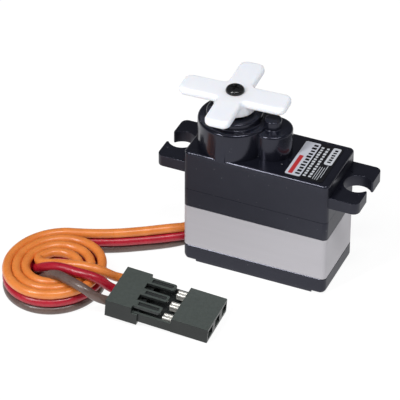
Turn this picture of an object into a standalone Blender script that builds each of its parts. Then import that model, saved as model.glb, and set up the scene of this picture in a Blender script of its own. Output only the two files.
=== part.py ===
"""A micro servo motor with its horn, three-wire lead and plug, modelled as it comes apart on a bench.

Frame: +X along the case, from the output shaft's end to the motor's end, +Y to the back, +Z up.
The origin is the middle of the bottom cover's flat face. All sizes are in metres.
"""

import math

import bmesh
import bpy

MM = 0.001

# Case, from the bottom up
CASE_LENGTH = 20.4 * MM
CASE_WIDTH = 9.8 * MM
COVER_TOP = 2.5 * MM
BAND_TOP = 8.9 * MM
BASE_TOP = 11.7 * MM
CASE_TOP = 17.6 * MM
CORNER_RADIUS = 0.7 * MM
WALL = 0.65 * MM
ROOF = 0.7 * MM
SEAM_GAP = 0.04 * MM
CORNER_FILL = 2.4 * MM
DECK_BOTTOM = 10.7 * MM
COVER_FLOOR = 0.6 * MM
COVER_END_RADIUS = 0.85 * MM

# Mounting lugs
LUG_REACH = 14.2 * MM
LUG_HALF_WIDTH = 4.5 * MM
LUG_BOTTOM = 14.05 * MM
LUG_TOP = 15.7 * MM
LUG_CORNER = 0.9 * MM
LUG_HOLE_X = 12.45 * MM
LUG_HOLE_RADIUS = 1.85 * MM
LUG_SLOT_HALF = 1.07 * MM

# Output tower, idler tower and the button over the idler shaft
TOWER_RADIUS = 4.88 * MM
TOWER_TOP = 21.75 * MM
COLLAR_RADIUS = 3.75 * MM
COLLAR_TOP = 22.7 * MM
IDLER_TOWER_RADIUS = 2.66 * MM
IDLER_TOWER_TOP = 21.4 * MM
BUTTON_RADIUS = 1.16 * MM
BUTTON_TOP = 22.7 * MM

# Case screws, one up each corner
SCREW_X = 9.2 * MM
SCREW_Y = 3.95 * MM
SCREW_RADIUS = 0.5 * MM
SCREW_HOLE = 0.53 * MM
SCREW_TIP = 15.2 * MM
SCREW_SEAT = 0.95 * MM
SCREW_HEAD_RADIUS = 0.76 * MM
SCREW_HEAD_BOTTOM = 0.35 * MM
RECESS_RADIUS = 0.8 * MM
CORNER_STEP_RADIUS = 1.25 * MM
CORNER_STEP_TOP = 0.35 * MM

# Gear train: two axes, both gears of a meshing pair on one line along X
GEAR_MODULE = 0.3 * MM
WHEEL_TEETH = 25
SMALL_TEETH = 11
OUTPUT_X = -4.95 * MM
IDLER_X = OUTPUT_X + GEAR_MODULE * (WHEEL_TEETH + SMALL_TEETH) / 2
MOTOR_MODULE = 0.25 * MM
FIRST_TEETH = 24
PINION_TEETH = 9
MOTOR_X = IDLER_X + MOTOR_MODULE * (FIRST_TEETH + PINION_TEETH) / 2
ADDENDUM = 0.85
DEDENDUM = 1.15
IDLER_SHAFT_RADIUS = 0.5 * MM
RUNNING_CLEARANCE = 0.05 * MM
BORE_STEPS = 24

# Output shaft, its bearing, the horn and the horn's screw
JOURNAL_RADIUS = 1.1 * MM
GEAR_SEAT_RADIUS = 1.5 * MM
BEARING_BOTTOM = 19.5 * MM
BEARING_TOP = 21.5 * MM
BEARING_INNER_RADIUS = 2.0 * MM
BEARING_OUTER_RADIUS = 3.5 * MM
BALL_CIRCLE = 2.75 * MM
BALL_RADIUS = 0.34 * MM
BALLS = 8
SPLINE_MODULE = 0.16 * MM
SPLINE_TEETH = 23
SPLINE_BOTTOM = 22.85 * MM
SPLINE_TOP = 24.9 * MM
HORN_REACH = 7.4 * MM
HORN_X_HALF_WIDTH = 1.9 * MM
HORN_Y_HALF_WIDTH = 1.75 * MM
HORN_TIP_RADIUS = 1.05 * MM
HORN_FILLET = 0.6 * MM
HORN_TURN = 2.7  # degrees, from the spline tooth that the horn was pressed on at
HORN_BOTTOM = 24.35 * MM
HORN_TOP = 25.5 * MM
HUB_BOTTOM = 23.1 * MM
HUB_RADIUS = 2.78 * MM
HORN_SCREW_RADIUS = 0.6 * MM
HORN_SCREW_HEAD = 1.25 * MM
HORN_SCREW_TOP = 26.15 * MM

# Motor
CAN_RADIUS = 4.0 * MM
CAN_BOTTOM = 4.3 * MM
CAN_TOP = 10.6 * MM
ARMATURE_RADIUS = 3.0 * MM
MOTOR_SHAFT_RADIUS = 0.4 * MM

# Potentiometer
POT_RADIUS = 3.2 * MM
POT_BOTTOM = 7.6 * MM
POT_SHAFT_RADIUS = 0.6 * MM

# Control board
BOARD_BOTTOM = 1.6 * MM
BOARD_TOP = 2.3 * MM

# Lead: three insulated wires, one above another where they leave the case
WIRE_DIAMETER = 1.26 * MM
TUBE_RADIUS = 0.61 * MM
EXIT_Y = -1.45 * MM
NOTCH_HALF_WIDTH = 0.85 * MM
NOTCH_BOTTOM = 0.35 * MM
NOTCH_TOP = 4.0 * MM

# Lead routes from the exit to the coil: points (x, y, z), in mm here as they are many
LEAD_SIGNAL = [(-10.9, -1.95, 3.13), (-11.28, -2.2, 3.05), (-13.97, -4.12, 3.15)]
LEAD_SIGNAL += [(-15.95, -5.44, 3.15), (-19.6, -7.55, 3.15), (-24.2, -9.35, 3.15)]
LEAD_POWER = [(-10.9, -2.45, 2.0), (-11.28, -2.65, 1.93), (-13.9, -4.35, 1.89)]
LEAD_POWER += [(-15.9, -5.55, 1.89), (-19.6, -7.55, 1.89), (-24.2, -9.35, 1.89)]
LEAD_GROUND = [(-10.9, -1.95, 0.88), (-11.28, -2.2, 0.78), (-13.97, -4.12, 0.63)]
LEAD_GROUND += [(-15.95, -5.44, 0.63), (-19.6, -7.55, 0.63), (-24.2, -9.35, 0.63)]

# The hand-wound coil: an oval spiral seen from above, counted in turns anticlockwise from +X
COIL_CENTRE = (-23.12 * MM, -16.54 * MM)
COIL_SEMI = (7.14 * MM, 7.94 * MM)
COIL_STEP = (1.26 * MM, 1.48 * MM)
COIL_DRIFT = (-0.083 * MM, -0.132 * MM)
COIL_TILT = -0.332
COIL_HEIGHT = 3.78 * MM

# Tail routes from inside the coil, over it and into the plug, in mm
TAIL_SIGNAL = [(-24.2, -17.1, 3.7), (-22.4, -17.3, 4.4), (-21.0, -17.3, 4.6), (-18.9, -17.1, 4.6)]
TAIL_SIGNAL += [(-16.7, -16.8, 4.5), (-16.0, -16.1, 3.6), (-15.4, -15.2, 2.6), (-14.75, -14.8, 2.3)]
TAIL_POWER = [(-24.0, -18.4, 3.9), (-22.2, -18.6, 4.5), (-19.3, -18.75, 4.6), (-16.9, -18.6, 4.5)]
TAIL_POWER += [(-16.1, -18.3, 3.9), (-15.4, -17.6, 2.6), (-14.75, -17.35, 2.3)]
TAIL_GROUND = [(-22.5, -19.75, 4.45), (-21.5, -20.1, 4.6), (-19.5, -20.7, 4.6), (-18.2, -21.1, 4.6)]
TAIL_GROUND += [(-16.6, -21.5, 4.5), (-15.9, -21.0, 3.7), (-15.2, -20.2, 2.6), (-14.65, -19.9, 2.3)]

# Plug, in its own frame: u along it from the wires' end, v across, w up from its top face
PLUG_PLACE = (-14.24 * MM, -17.3 * MM, 3.36 * MM)
PLUG_YAW = math.radians(2.24)
PLUG_PITCH = math.radians(4.5)
PLUG_LENGTH = 14.25 * MM
PLUG_HALF_WIDTH = 3.5 * MM
PLUG_REAR_HALF_WIDTH = 3.85 * MM
PLUG_REAR_LENGTH = 3.65 * MM
PLUG_SHELF_END = 4.5 * MM
PLUG_DEPTH = 2.2 * MM
PLUG_REAR_DEPTH = 2.6 * MM
PLUG_FRONT_START = 9.1 * MM
PIN_PITCH = 2.54 * MM


def clear_scene():
    for old in list(bpy.data.objects):
        bpy.data.objects.remove(old)


def material(name, colour, roughness, metallic=0.0):
    found = bpy.data.materials.get(name)
    if found:
        return found
    made = bpy.data.materials.new(name)
    made.use_nodes = True
    shader = made.node_tree.nodes["Principled BSDF"]
    shader.inputs["Base Color"].default_value = (*colour, 1.0)
    shader.inputs["Roughness"].default_value = roughness
    shader.inputs["Metallic"].default_value = metallic
    return made


def black_plastic():
    return material("black_plastic", (0.02, 0.02, 0.023), 0.25)


def aluminium():
    return material("aluminium", (0.62, 0.61, 0.64), 0.35, 1.0)


def steel():
    return material("steel", (0.55, 0.55, 0.56), 0.25, 1.0)


def brass():
    return material("brass", (0.72, 0.55, 0.25), 0.3, 1.0)


def gear_nylon():
    return material("gear_nylon", (0.78, 0.77, 0.7), 0.45)


def add_object(name, mesh_data, finish, location=(0, 0, 0)):
    """An object from a bmesh, its faces turned outwards and its round sides shaded smooth."""
    bmesh.ops.remove_doubles(mesh_data, verts=mesh_data.verts, dist=1e-8)
    bmesh.ops.recalc_face_normals(mesh_data, faces=mesh_data.faces)
    mesh = bpy.data.meshes.new(name)
    mesh_data.to_mesh(mesh)
    mesh_data.free()
    mesh.shade_smooth()
    mesh.set_sharp_from_angle(angle=math.radians(35))
    mesh.materials.append(finish)
    made = bpy.data.objects.new(name, mesh)
    made.location = location
    bpy.context.scene.collection.objects.link(made)
    return made


def combine(target, tools, operation):
    """Adds each tool to the target, or cuts it away, and hides the tool."""
    for tool in tools:
        modifier = target.modifiers.new(tool.name, "BOOLEAN")
        modifier.operation = operation
        modifier.object = tool
        modifier.solver = "EXACT"
        tool.hide_render = True
        tool.display_type = "WIRE"
        tool.name = "tool_" + tool.name


def join(target, *tools):
    combine(target, tools, "UNION")


def cut(target, *tools):
    combine(target, tools, "DIFFERENCE")


# Shapes


def arc(centre, radius, start, end, steps):
    """Points on an arc, its angles in degrees."""
    angles = [math.radians(start + (end - start) * i / steps) for i in range(steps + 1)]
    return [(centre[0] + radius * math.cos(a), centre[1] + radius * math.sin(a)) for a in angles]


def circle(radius, steps, centre=(0, 0), phase=0.0):
    return arc(centre, radius, phase, phase + 360.0, steps)[:-1]


def rounded_rectangle(half_x, half_y, radius, steps=3):
    points = []
    for quarter, (sx, sy) in enumerate(((1, 1), (-1, 1), (-1, -1), (1, -1))):
        centre = (sx * (half_x - radius), sy * (half_y - radius))
        points += arc(centre, radius, 90 * quarter, 90 * quarter + 90, steps)
    return points


def stacked(loops):
    """A closed solid through loops of equal length, each (outline, height), with flat ends."""
    made = bmesh.new()
    rings = [[made.verts.new((x, y, z)) for x, y in outline] for outline, z in loops]
    made.faces.new(rings[0])
    made.faces.new(rings[-1])
    for lower, upper in zip(rings, rings[1:]):
        for i in range(len(lower)):
            j = (i + 1) % len(lower)
            made.faces.new((lower[i], lower[j], upper[j], upper[i]))
    return made


def prism(outline, low, high):
    return stacked([(outline, low), (outline, high)])


def box(low, high):
    (x0, y0, z0), (x1, y1, z1) = low, high
    return prism([(x0, y0), (x1, y0), (x1, y1), (x0, y1)], z0, z1)


def cylinder(radius, low, high, centre=(0, 0), steps=BORE_STEPS):
    return prism(circle(radius, steps, centre), low, high)


def turned(profile, steps=BORE_STEPS, phase=0.0):
    """A solid turned about the object's Z axis from a closed profile of (radius, height)."""
    made = bmesh.new()
    rings = []
    for radius, height in profile:
        if radius == 0:
            rings.append([made.verts.new((0, 0, height))] * steps)
        else:
            rings.append([made.verts.new((x, y, height)) for x, y in circle(radius, steps, phase=phase)])
    for first, second in zip(rings, rings[1:] + rings[:1]):
        for i in range(steps):
            j = (i + 1) % steps
            corners = list(dict.fromkeys((first[i], first[j], second[j], second[i])))
            if len(corners) > 2:
                made.faces.new(corners)
    return made


def ring_profile(inner, outer, low, high):
    return [(inner, low), (outer, low), (outer, high), (inner, high)]


def gear_outline(teeth, module, phase):
    """Straight-flanked teeth, one centred at the phase angle in degrees."""
    root = module * (teeth / 2 - DEDENDUM)
    tip = module * (teeth / 2 + ADDENDUM)
    points = []
    for tooth in range(teeth):
        middle = phase + 360.0 * tooth / teeth
        root_half = 0.29 * 360.0 / teeth
        tip_half = 0.12 * 360.0 / teeth
        for radius, angle in ((root, -root_half), (tip, -tip_half), (tip, tip_half), (root, root_half)):
            turn = math.radians(middle + angle)
            points.append((radius * math.cos(turn), radius * math.sin(turn)))
    return points


def tube(name, points, finish, radius=WIRE_DIAMETER / 2):
    """A closed tube along the points."""
    curve = bpy.data.curves.new(name, "CURVE")
    curve.dimensions = "3D"
    curve.bevel_depth = radius
    curve.bevel_resolution = 2
    curve.use_fill_caps = True
    spline = curve.splines.new("POLY")
    spline.points.add(len(points) - 1)
    for target, point in zip(spline.points, points):
        target.co = (*point, 1.0)
    curve.materials.append(finish)
    made = bpy.data.objects.new(name, curve)
    bpy.context.scene.collection.objects.link(made)
    return made


# Case


def case_outline(inset=0.0, end_inset=0.0):
    radius = max(CORNER_RADIUS - inset, 0.2 * MM)
    return rounded_rectangle(CASE_LENGTH / 2 - inset - end_inset, CASE_WIDTH / 2 - inset, radius)


def cavity_outline():
    """The inside of the case walls, with solid corners for the case screws."""
    x, y = CASE_LENGTH / 2 - WALL, CASE_WIDTH / 2 - WALL
    f = CORNER_FILL
    right = [(x, f - y), (x, y - f), (x - f, y), (f - x, y)]
    left = [(-x, y - f), (-x, f - y), (f - x, -y), (x - f, -y)]
    return right + left


def corner_tools(name, radius, low, high, steps=12):
    """One cylinder at each corner screw's place."""
    corners = [(x, y) for x in (-SCREW_X, SCREW_X) for y in (-SCREW_Y, SCREW_Y)]
    return [
        add_object(f"{name}_{i}", cylinder(radius, low, high, corner, steps), steel())
        for i, corner in enumerate(corners, 1)
    ]


def lug_outline(side):
    """One lug seen from above, a C open to its end. It starts and ends inside the case wall."""
    root = CASE_LENGTH / 2 - 0.3 * MM
    meet = math.degrees(math.asin(LUG_SLOT_HALF / LUG_HOLE_RADIUS))
    corner = (LUG_REACH - LUG_CORNER, LUG_HALF_WIDTH - LUG_CORNER)
    points = [(root, -LUG_HALF_WIDTH)]
    points += arc((corner[0], -corner[1]), LUG_CORNER, -90, 0, 4)
    points += [(LUG_REACH, -LUG_SLOT_HALF)]
    points += arc((LUG_HOLE_X, 0), LUG_HOLE_RADIUS, -meet, meet - 360, 20)
    points += [(LUG_REACH, LUG_SLOT_HALF)]
    points += arc(corner, LUG_CORNER, 0, 90, 4)
    points += [(root, LUG_HALF_WIDTH)]
    return [(side * x, y) for x, y in points]


def upper_case_outside():
    """The block with a rounded top edge, its two towers, the collar, the button and the lugs."""
    edge = 0.25 * MM
    loops = [(case_outline(), BASE_TOP + SEAM_GAP)]
    for step in range(4):
        angle = math.radians(30 * step)
        inset = edge * (1 - math.cos(angle))
        loops.append((case_outline(inset), CASE_TOP - edge + edge * math.sin(angle)))
    case = add_object("upper_case", stacked(loops), black_plastic())
    inside = CASE_TOP - 2 * MM
    chamfer = 0.2 * MM
    tower = [(0, inside), (TOWER_RADIUS, inside), (TOWER_RADIUS, TOWER_TOP - chamfer)]
    tower += [(TOWER_RADIUS - chamfer, TOWER_TOP), (COLLAR_RADIUS, TOWER_TOP)]
    tower += [(COLLAR_RADIUS, COLLAR_TOP - chamfer)]
    tower += [(COLLAR_RADIUS - chamfer, COLLAR_TOP), (0, COLLAR_TOP)]
    idler = [(0, inside), (IDLER_TOWER_RADIUS, inside), (IDLER_TOWER_RADIUS, IDLER_TOWER_TOP - chamfer)]
    idler += [(IDLER_TOWER_RADIUS - chamfer, IDLER_TOWER_TOP), (BUTTON_RADIUS, IDLER_TOWER_TOP)]
    idler += [(BUTTON_RADIUS, BUTTON_TOP - chamfer), (BUTTON_RADIUS - chamfer, BUTTON_TOP), (0, BUTTON_TOP)]
    lugs = [
        add_object(f"lug_{i}", prism(lug_outline(side), LUG_BOTTOM, LUG_TOP), steel())
        for i, side in enumerate((-1, 1))
    ]
    join(
        case,
        add_object("output_tower", turned(tower, 48), steel(), (OUTPUT_X, 0, 0)),
        add_object("idler_tower", turned(idler, 32), steel(), (IDLER_X, 0, 0)),
        *lugs,
    )
    return case


def make_upper_case():
    """Cap of the gearbox: a gear chamber under the roof, and a room in each tower."""
    case = upper_case_outside()
    below = BASE_TOP - 1 * MM
    room = TOWER_RADIUS - 0.7 * MM
    output_room = [(0, below), (room, below), (room, BEARING_BOTTOM - 0.3 * MM)]
    output_room += [(BEARING_OUTER_RADIUS + 0.03 * MM, BEARING_BOTTOM - 0.3 * MM)]
    output_room += [(BEARING_OUTER_RADIUS + 0.03 * MM, BEARING_TOP + 0.05 * MM)]
    output_room += [(2.35 * MM, BEARING_TOP + 0.05 * MM), (2.35 * MM, 24 * MM), (0, 24 * MM)]
    idler_room = [(0, below), (2.15 * MM, below), (2.15 * MM, 20.7 * MM)]
    bore = IDLER_SHAFT_RADIUS + 0.03 * MM
    idler_room += [(bore, 20.7 * MM), (bore, 22.2 * MM), (0, 22.2 * MM)]
    cut(
        case,
        add_object("gear_chamber", prism(cavity_outline(), below, CASE_TOP - ROOF), steel()),
        add_object("output_room", turned(output_room, 44, 2.5), steel(), (OUTPUT_X, 0, 0)),
        add_object("idler_room", turned(idler_room, 28, 2.5), steel(), (IDLER_X, 0, 0)),
        *corner_tools("upper_screw_hole", SCREW_HOLE, below, SCREW_TIP + 0.3 * MM),
    )


def make_gear_base():
    """Frame under the gearbox: its deck carries the gear shafts above and the motor below."""
    low, high = BAND_TOP + SEAM_GAP, BASE_TOP
    base = add_object("gear_base", prism(case_outline(), low, high), black_plastic())
    holes = [
        ("motor_hole", 1.5 * MM, MOTOR_X, 0, low),
        ("bush_hole", 1.63 * MM, OUTPUT_X, 0, low),
        ("idler_hole", IDLER_SHAFT_RADIUS + 0.02 * MM, IDLER_X, 0, DECK_BOTTOM + 0.3 * MM),
        ("motor_screw_hole_1", 0.43 * MM, MOTOR_X, -2.5 * MM, low),
        ("motor_screw_hole_2", 0.43 * MM, MOTOR_X, 2.5 * MM, low),
    ]
    tools = [
        add_object(name, cylinder(radius, bottom, high + 1 * MM, (x, y), 16), steel())
        for name, radius, x, y, bottom in holes
    ]
    under = add_object("under_deck", prism(cavity_outline(), low - 1 * MM, DECK_BOTTOM), steel())
    cut(base, under, *tools, *corner_tools("base_screw_hole", SCREW_HOLE, low - 1 * MM, high + 1 * MM))


def cable_notch(name, low, high):
    """The slot in the end wall that the grommet sits in."""
    corner = (-CASE_LENGTH / 2 - 1 * MM, EXIT_Y - NOTCH_HALF_WIDTH, low)
    return add_object(name, box(corner, (-8.9 * MM, EXIT_Y + NOTCH_HALF_WIDTH, high)), steel())


def make_heat_sink_case():
    """Middle of the case: a bare aluminium ring round the motor."""
    low, high = COVER_TOP + SEAM_GAP, BAND_TOP
    ring = add_object("heat_sink_case", prism(case_outline(), low, high), aluminium())
    cut(
        ring,
        add_object("motor_room", prism(cavity_outline(), low - 1 * MM, high + 1 * MM), steel()),
        cable_notch("band_notch", low - 1 * MM, NOTCH_TOP),
        *corner_tools("band_screw_hole", SCREW_HOLE, low - 1 * MM, high + 1 * MM),
    )


def make_bottom_cover():
    """Cup that closes the case, its ends rounded underneath, with a stepped screw recess at each corner."""
    loops = []
    for step in range(4):
        angle = math.radians(30 * step)
        end_inset = COVER_END_RADIUS * (1 - math.sin(angle))
        loops.append((case_outline(0, end_inset), COVER_END_RADIUS * (1 - math.cos(angle))))
    loops.append((case_outline(), COVER_TOP))
    cover = add_object("bottom_cover", stacked(loops), black_plastic())
    cut(
        cover,
        add_object("board_room", prism(cavity_outline(), COVER_FLOOR, COVER_TOP + 1 * MM), steel()),
        cable_notch("cover_notch", NOTCH_BOTTOM, COVER_TOP + 1 * MM),
        *corner_tools("cover_screw_hole", SCREW_HOLE, -1 * MM, COVER_TOP + 1 * MM),
        *corner_tools("screw_recess", RECESS_RADIUS, -1 * MM, SCREW_SEAT, 20),
        *corner_tools("corner_step", CORNER_STEP_RADIUS, -1 * MM, CORNER_STEP_TOP, 28),
    )


def make_case_screws():
    """Four long screws with slotted heads, up through the corners."""
    seat, bottom = SCREW_SEAT - 0.03 * MM, SCREW_HEAD_BOTTOM
    profile = [(0, bottom), (SCREW_HEAD_RADIUS, bottom), (SCREW_HEAD_RADIUS, seat), (SCREW_RADIUS, seat)]
    profile += [(SCREW_RADIUS, SCREW_TIP - 0.4 * MM), (0, SCREW_TIP)]
    corners = [(x, y) for y in (-SCREW_Y, SCREW_Y) for x in (-SCREW_X, SCREW_X)]
    for number, (x, y) in enumerate(corners, 1):
        screw = add_object(f"case_screw_{number}", turned(profile, 16), steel(), (x, y, 0))
        low = (-1 * MM, -0.12 * MM, bottom - 1 * MM)
        high = (1 * MM, 0.12 * MM, bottom + 0.3 * MM)
        slot = add_object(f"screw_slot_{number}", box(low, high), steel(), (x, y, 0))
        cut(screw, slot)


def make_label():
    outline = rounded_rectangle(2.7 * MM, 4.08 * MM, 0.3 * MM)
    low = CASE_TOP + 0.03 * MM
    finish = material("label", (0.5, 0.5, 0.52), 0.4)
    add_object("rating_label", prism(outline, low, low + 0.08 * MM), finish, (6.35 * MM, -0.17 * MM, 0))


def make_cable_grommet():
    """Plain rubber block that fills the notch in the end wall, round the three wires."""
    side = NOTCH_HALF_WIDTH - 0.03 * MM
    outer, inner = -CASE_LENGTH / 2 - 0.3 * MM, -8.95 * MM
    low, high = NOTCH_BOTTOM + 0.03 * MM, NOTCH_TOP - 0.03 * MM
    finish = material("black_rubber", (0.025, 0.025, 0.027), 0.7)
    add_object("cable_grommet", box((outer, EXIT_Y - side, low), (inner, EXIT_Y + side, high)), finish)


# Output shaft, bearing and horn


def make_output_shaft():
    """Splined shaft with a screw hole in its top and a socket for the potentiometer's shaft."""
    profile = [(0.62 * MM, 11.0 * MM), (JOURNAL_RADIUS, 11.0 * MM), (JOURNAL_RADIUS, 16.9 * MM)]
    profile += [(GEAR_SEAT_RADIUS, 16.9 * MM), (GEAR_SEAT_RADIUS, BEARING_BOTTOM - 0.1 * MM)]
    profile += [(BEARING_INNER_RADIUS - 0.02 * MM, BEARING_BOTTOM - 0.1 * MM)]
    profile += [(BEARING_INNER_RADIUS - 0.02 * MM, SPLINE_BOTTOM), (0.62 * MM, SPLINE_BOTTOM)]
    profile += [(0.62 * MM, 20.0 * MM), (0, 19.8 * MM), (0, 13.2 * MM), (0.62 * MM, 13.0 * MM)]
    shaft = add_object("output_shaft", turned(profile, 32), steel(), (OUTPUT_X, 0, 0))
    teeth = gear_outline(SPLINE_TEETH, SPLINE_MODULE, 0)
    spline = prism(teeth, SPLINE_BOTTOM - 0.2 * MM, SPLINE_TOP)
    spline = add_object("spline", spline, steel(), (OUTPUT_X, 0, 0))
    hole = add_object("shaft_screw_hole", cylinder(0.62 * MM, 20.5 * MM, 26 * MM), steel(), (OUTPUT_X, 0, 0))
    join(shaft, spline)
    cut(shaft, hole)


def make_bearing():
    """Shielded ball bearing in the output tower."""
    place = (OUTPUT_X, 0, 0)
    low, high = BEARING_BOTTOM, BEARING_TOP
    inner = ring_profile(BEARING_INNER_RADIUS + 0.01 * MM, 2.37 * MM, low, high)
    outer = ring_profile(3.12 * MM, BEARING_OUTER_RADIUS, low, high)
    add_object("bearing_inner_race", turned(inner, 32), steel(), place)
    add_object("bearing_outer_race", turned(outer, 32), steel(), place)
    middle = (low + high) / 2
    inner, outer = BALL_CIRCLE - 0.14 * MM, BALL_CIRCLE + 0.14 * MM
    profile = ring_profile(inner, outer, middle - 0.2 * MM, middle + 0.2 * MM)
    cage = add_object("bearing_cage_with_balls", turned(profile, 32), brass(), place)
    for number in range(BALLS):
        angle = 2 * math.pi * number / BALLS
        ball = bmesh.new()
        bmesh.ops.create_uvsphere(ball, u_segments=8, v_segments=6, radius=BALL_RADIUS)
        spot = (OUTPUT_X + BALL_CIRCLE * math.cos(angle), BALL_CIRCLE * math.sin(angle), middle)
        join(cage, add_object(f"ball_{number}", ball, steel(), spot))
    for name, bottom in (("lower", low + 0.05 * MM), ("upper", high - 0.2 * MM)):
        shield = ring_profile(2.42 * MM, 3.08 * MM, bottom, bottom + 0.15 * MM)
        add_object(f"bearing_shield_{name}", turned(shield, 32), steel(), place)


def make_lower_bush():
    low, high = DECK_BOTTOM + 0.05 * MM, BASE_TOP - 0.05 * MM
    profile = ring_profile(JOURNAL_RADIUS + RUNNING_CLEARANCE, 1.6 * MM, low, high)
    add_object("lower_bush", turned(profile), brass(), (OUTPUT_X, 0, 0))


def horn_outline():
    """Four arms with rounded tips and small fillets between them, anticlockwise from the +X arm."""
    points = []
    for turn in range(4):
        half = HORN_Y_HALF_WIDTH if turn % 2 else HORN_X_HALF_WIDTH
        other = HORN_X_HALF_WIDTH if turn % 2 else HORN_Y_HALF_WIDTH
        tip_x, tip_y = HORN_REACH - HORN_TIP_RADIUS, half - HORN_TIP_RADIUS
        arm = arc((tip_x, -tip_y), HORN_TIP_RADIUS, -90, 0, 5)
        arm += arc((tip_x, tip_y), HORN_TIP_RADIUS, 0, 90, 5)
        arm += arc((other + HORN_FILLET, half + HORN_FILLET), HORN_FILLET, -90, -180, 3)
        angle = math.radians(90 * turn + HORN_TURN)
        cos, sin = math.cos(angle), math.sin(angle)
        points += [(x * cos - y * sin, x * sin + y * cos) for x, y in arm]
    return points


def make_horn():
    white = material("white_nylon", (0.85, 0.86, 0.9), 0.4)
    place = (OUTPUT_X, 0, 0)
    horn = add_object("horn", prism(horn_outline(), HORN_BOTTOM, HORN_TOP), white, place)
    bevel = horn.modifiers.new("soft_edges", "BEVEL")
    bevel.width = 0.25 * MM
    bevel.segments = 2
    bevel.limit_method = "ANGLE"
    bevel.angle_limit = math.radians(50)
    hub = [(0, HUB_BOTTOM), (HUB_RADIUS - 0.15 * MM, HUB_BOTTOM), (HUB_RADIUS, HUB_BOTTOM + 0.15 * MM)]
    hub += [(HUB_RADIUS, HORN_TOP - 0.5 * MM), (0, HORN_TOP - 0.5 * MM)]
    bore = [(0, HUB_BOTTOM - 1 * MM), (2.02 * MM, HUB_BOTTOM - 1 * MM), (2.02 * MM, SPLINE_TOP + 0.05 * MM)]
    bore += [(0.7 * MM, SPLINE_TOP + 0.05 * MM), (0.7 * MM, 27 * MM), (0, 27 * MM)]
    join(horn, add_object("hub", turned(hub, 32), steel(), place))
    cut(horn, add_object("horn_bore", turned(bore, 32), steel(), place))


def make_horn_screw():
    """Pan head screw with a cross recess."""
    seat = HORN_TOP + 0.03 * MM
    crown = HORN_SCREW_TOP
    profile = [(0, 20.3 * MM), (0.45 * MM, 20.6 * MM)]
    profile += [(HORN_SCREW_RADIUS, 21.0 * MM), (HORN_SCREW_RADIUS, seat)]
    profile += [(HORN_SCREW_HEAD, seat), (HORN_SCREW_HEAD, seat + 0.2 * MM)]
    profile += [(0.86 * HORN_SCREW_HEAD, crown - 0.15 * MM), (0.5 * HORN_SCREW_HEAD, crown), (0, crown)]
    finish = material("black_steel", (0.03, 0.03, 0.03), 0.3, 0.8)
    screw = add_object("horn_screw", turned(profile), finish, (OUTPUT_X, 0, 0))
    for name, half_x, half_y in (("long", 0.6 * MM, 0.14 * MM), ("cross", 0.14 * MM, 0.6 * MM)):
        low, high = (-half_x, -half_y, crown - 0.4 * MM), (half_x, half_y, crown + 1 * MM)
        cut(screw, add_object(f"recess_{name}", box(low, high), steel(), (OUTPUT_X, 0, 0)))


# Gears


def compound_gear(name, x, wheel, small, bore, finish):
    """A wheel and a smaller gear in one piece on a shaft at x. Each is (outline, low, high)."""
    body = add_object(name, prism(*wheel), finish, (x, 0, 0))
    join(body, add_object(f"{name}_small", prism(*small), steel(), (x, 0, 0)))
    cut(body, add_object(f"{name}_bore", cylinder(bore, 5 * MM, 30 * MM), steel(), (x, 0, 0)))


def make_gears():
    """Four meshes from the motor to the output gear, up the two axes in turn."""
    idler_bore = IDLER_SHAFT_RADIUS + RUNNING_CLEARANCE
    compound_gear(
        "first_gear",
        IDLER_X,
        (gear_outline(FIRST_TEETH, MOTOR_MODULE, 0), 12.05 * MM, 12.85 * MM),
        (gear_outline(SMALL_TEETH, GEAR_MODULE, 180), 12.5 * MM, 14.2 * MM),
        idler_bore,
        gear_nylon(),
    )
    gap_right = 180 / WHEEL_TEETH
    compound_gear(
        "second_gear",
        OUTPUT_X,
        (gear_outline(WHEEL_TEETH, GEAR_MODULE, gap_right), 13.15 * MM, 14.1 * MM),
        (gear_outline(SMALL_TEETH, GEAR_MODULE, 0), 13.7 * MM, 15.7 * MM),
        JOURNAL_RADIUS + RUNNING_CLEARANCE,
        gear_nylon(),
    )
    gap_left = 180 + 180 / WHEEL_TEETH
    compound_gear(
        "third_gear",
        IDLER_X,
        (gear_outline(WHEEL_TEETH, GEAR_MODULE, gap_left), 14.45 * MM, 15.6 * MM),
        (gear_outline(SMALL_TEETH, GEAR_MODULE, 180), 15.0 * MM, 19.1 * MM),
        idler_bore,
        brass(),
    )
    output = prism(gear_outline(WHEEL_TEETH, GEAR_MODULE, gap_right), 17.0 * MM, 18.9 * MM)
    gear = add_object("output_gear", output, brass(), (OUTPUT_X, 0, 0))
    seat = cylinder(GEAR_SEAT_RADIUS + 0.02 * MM, 5 * MM, 30 * MM, steps=32)
    cut(gear, add_object("output_gear_bore", seat, steel(), (OUTPUT_X, 0, 0)))
    pinion = prism(gear_outline(PINION_TEETH, MOTOR_MODULE, 0), 12.0 * MM, 13.2 * MM)
    small = add_object("motor_pinion", pinion, brass(), (MOTOR_X, 0, 0))
    hole = cylinder(MOTOR_SHAFT_RADIUS + 0.02 * MM, 5 * MM, 30 * MM, steps=16)
    cut(small, add_object("pinion_bore", hole, steel(), (MOTOR_X, 0, 0)))


def make_idler_shaft():
    low, high = DECK_BOTTOM + 0.35 * MM, 22.1 * MM
    add_object("idler_shaft", cylinder(IDLER_SHAFT_RADIUS, low, high), steel(), (IDLER_X, 0, 0))


# Motor


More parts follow.
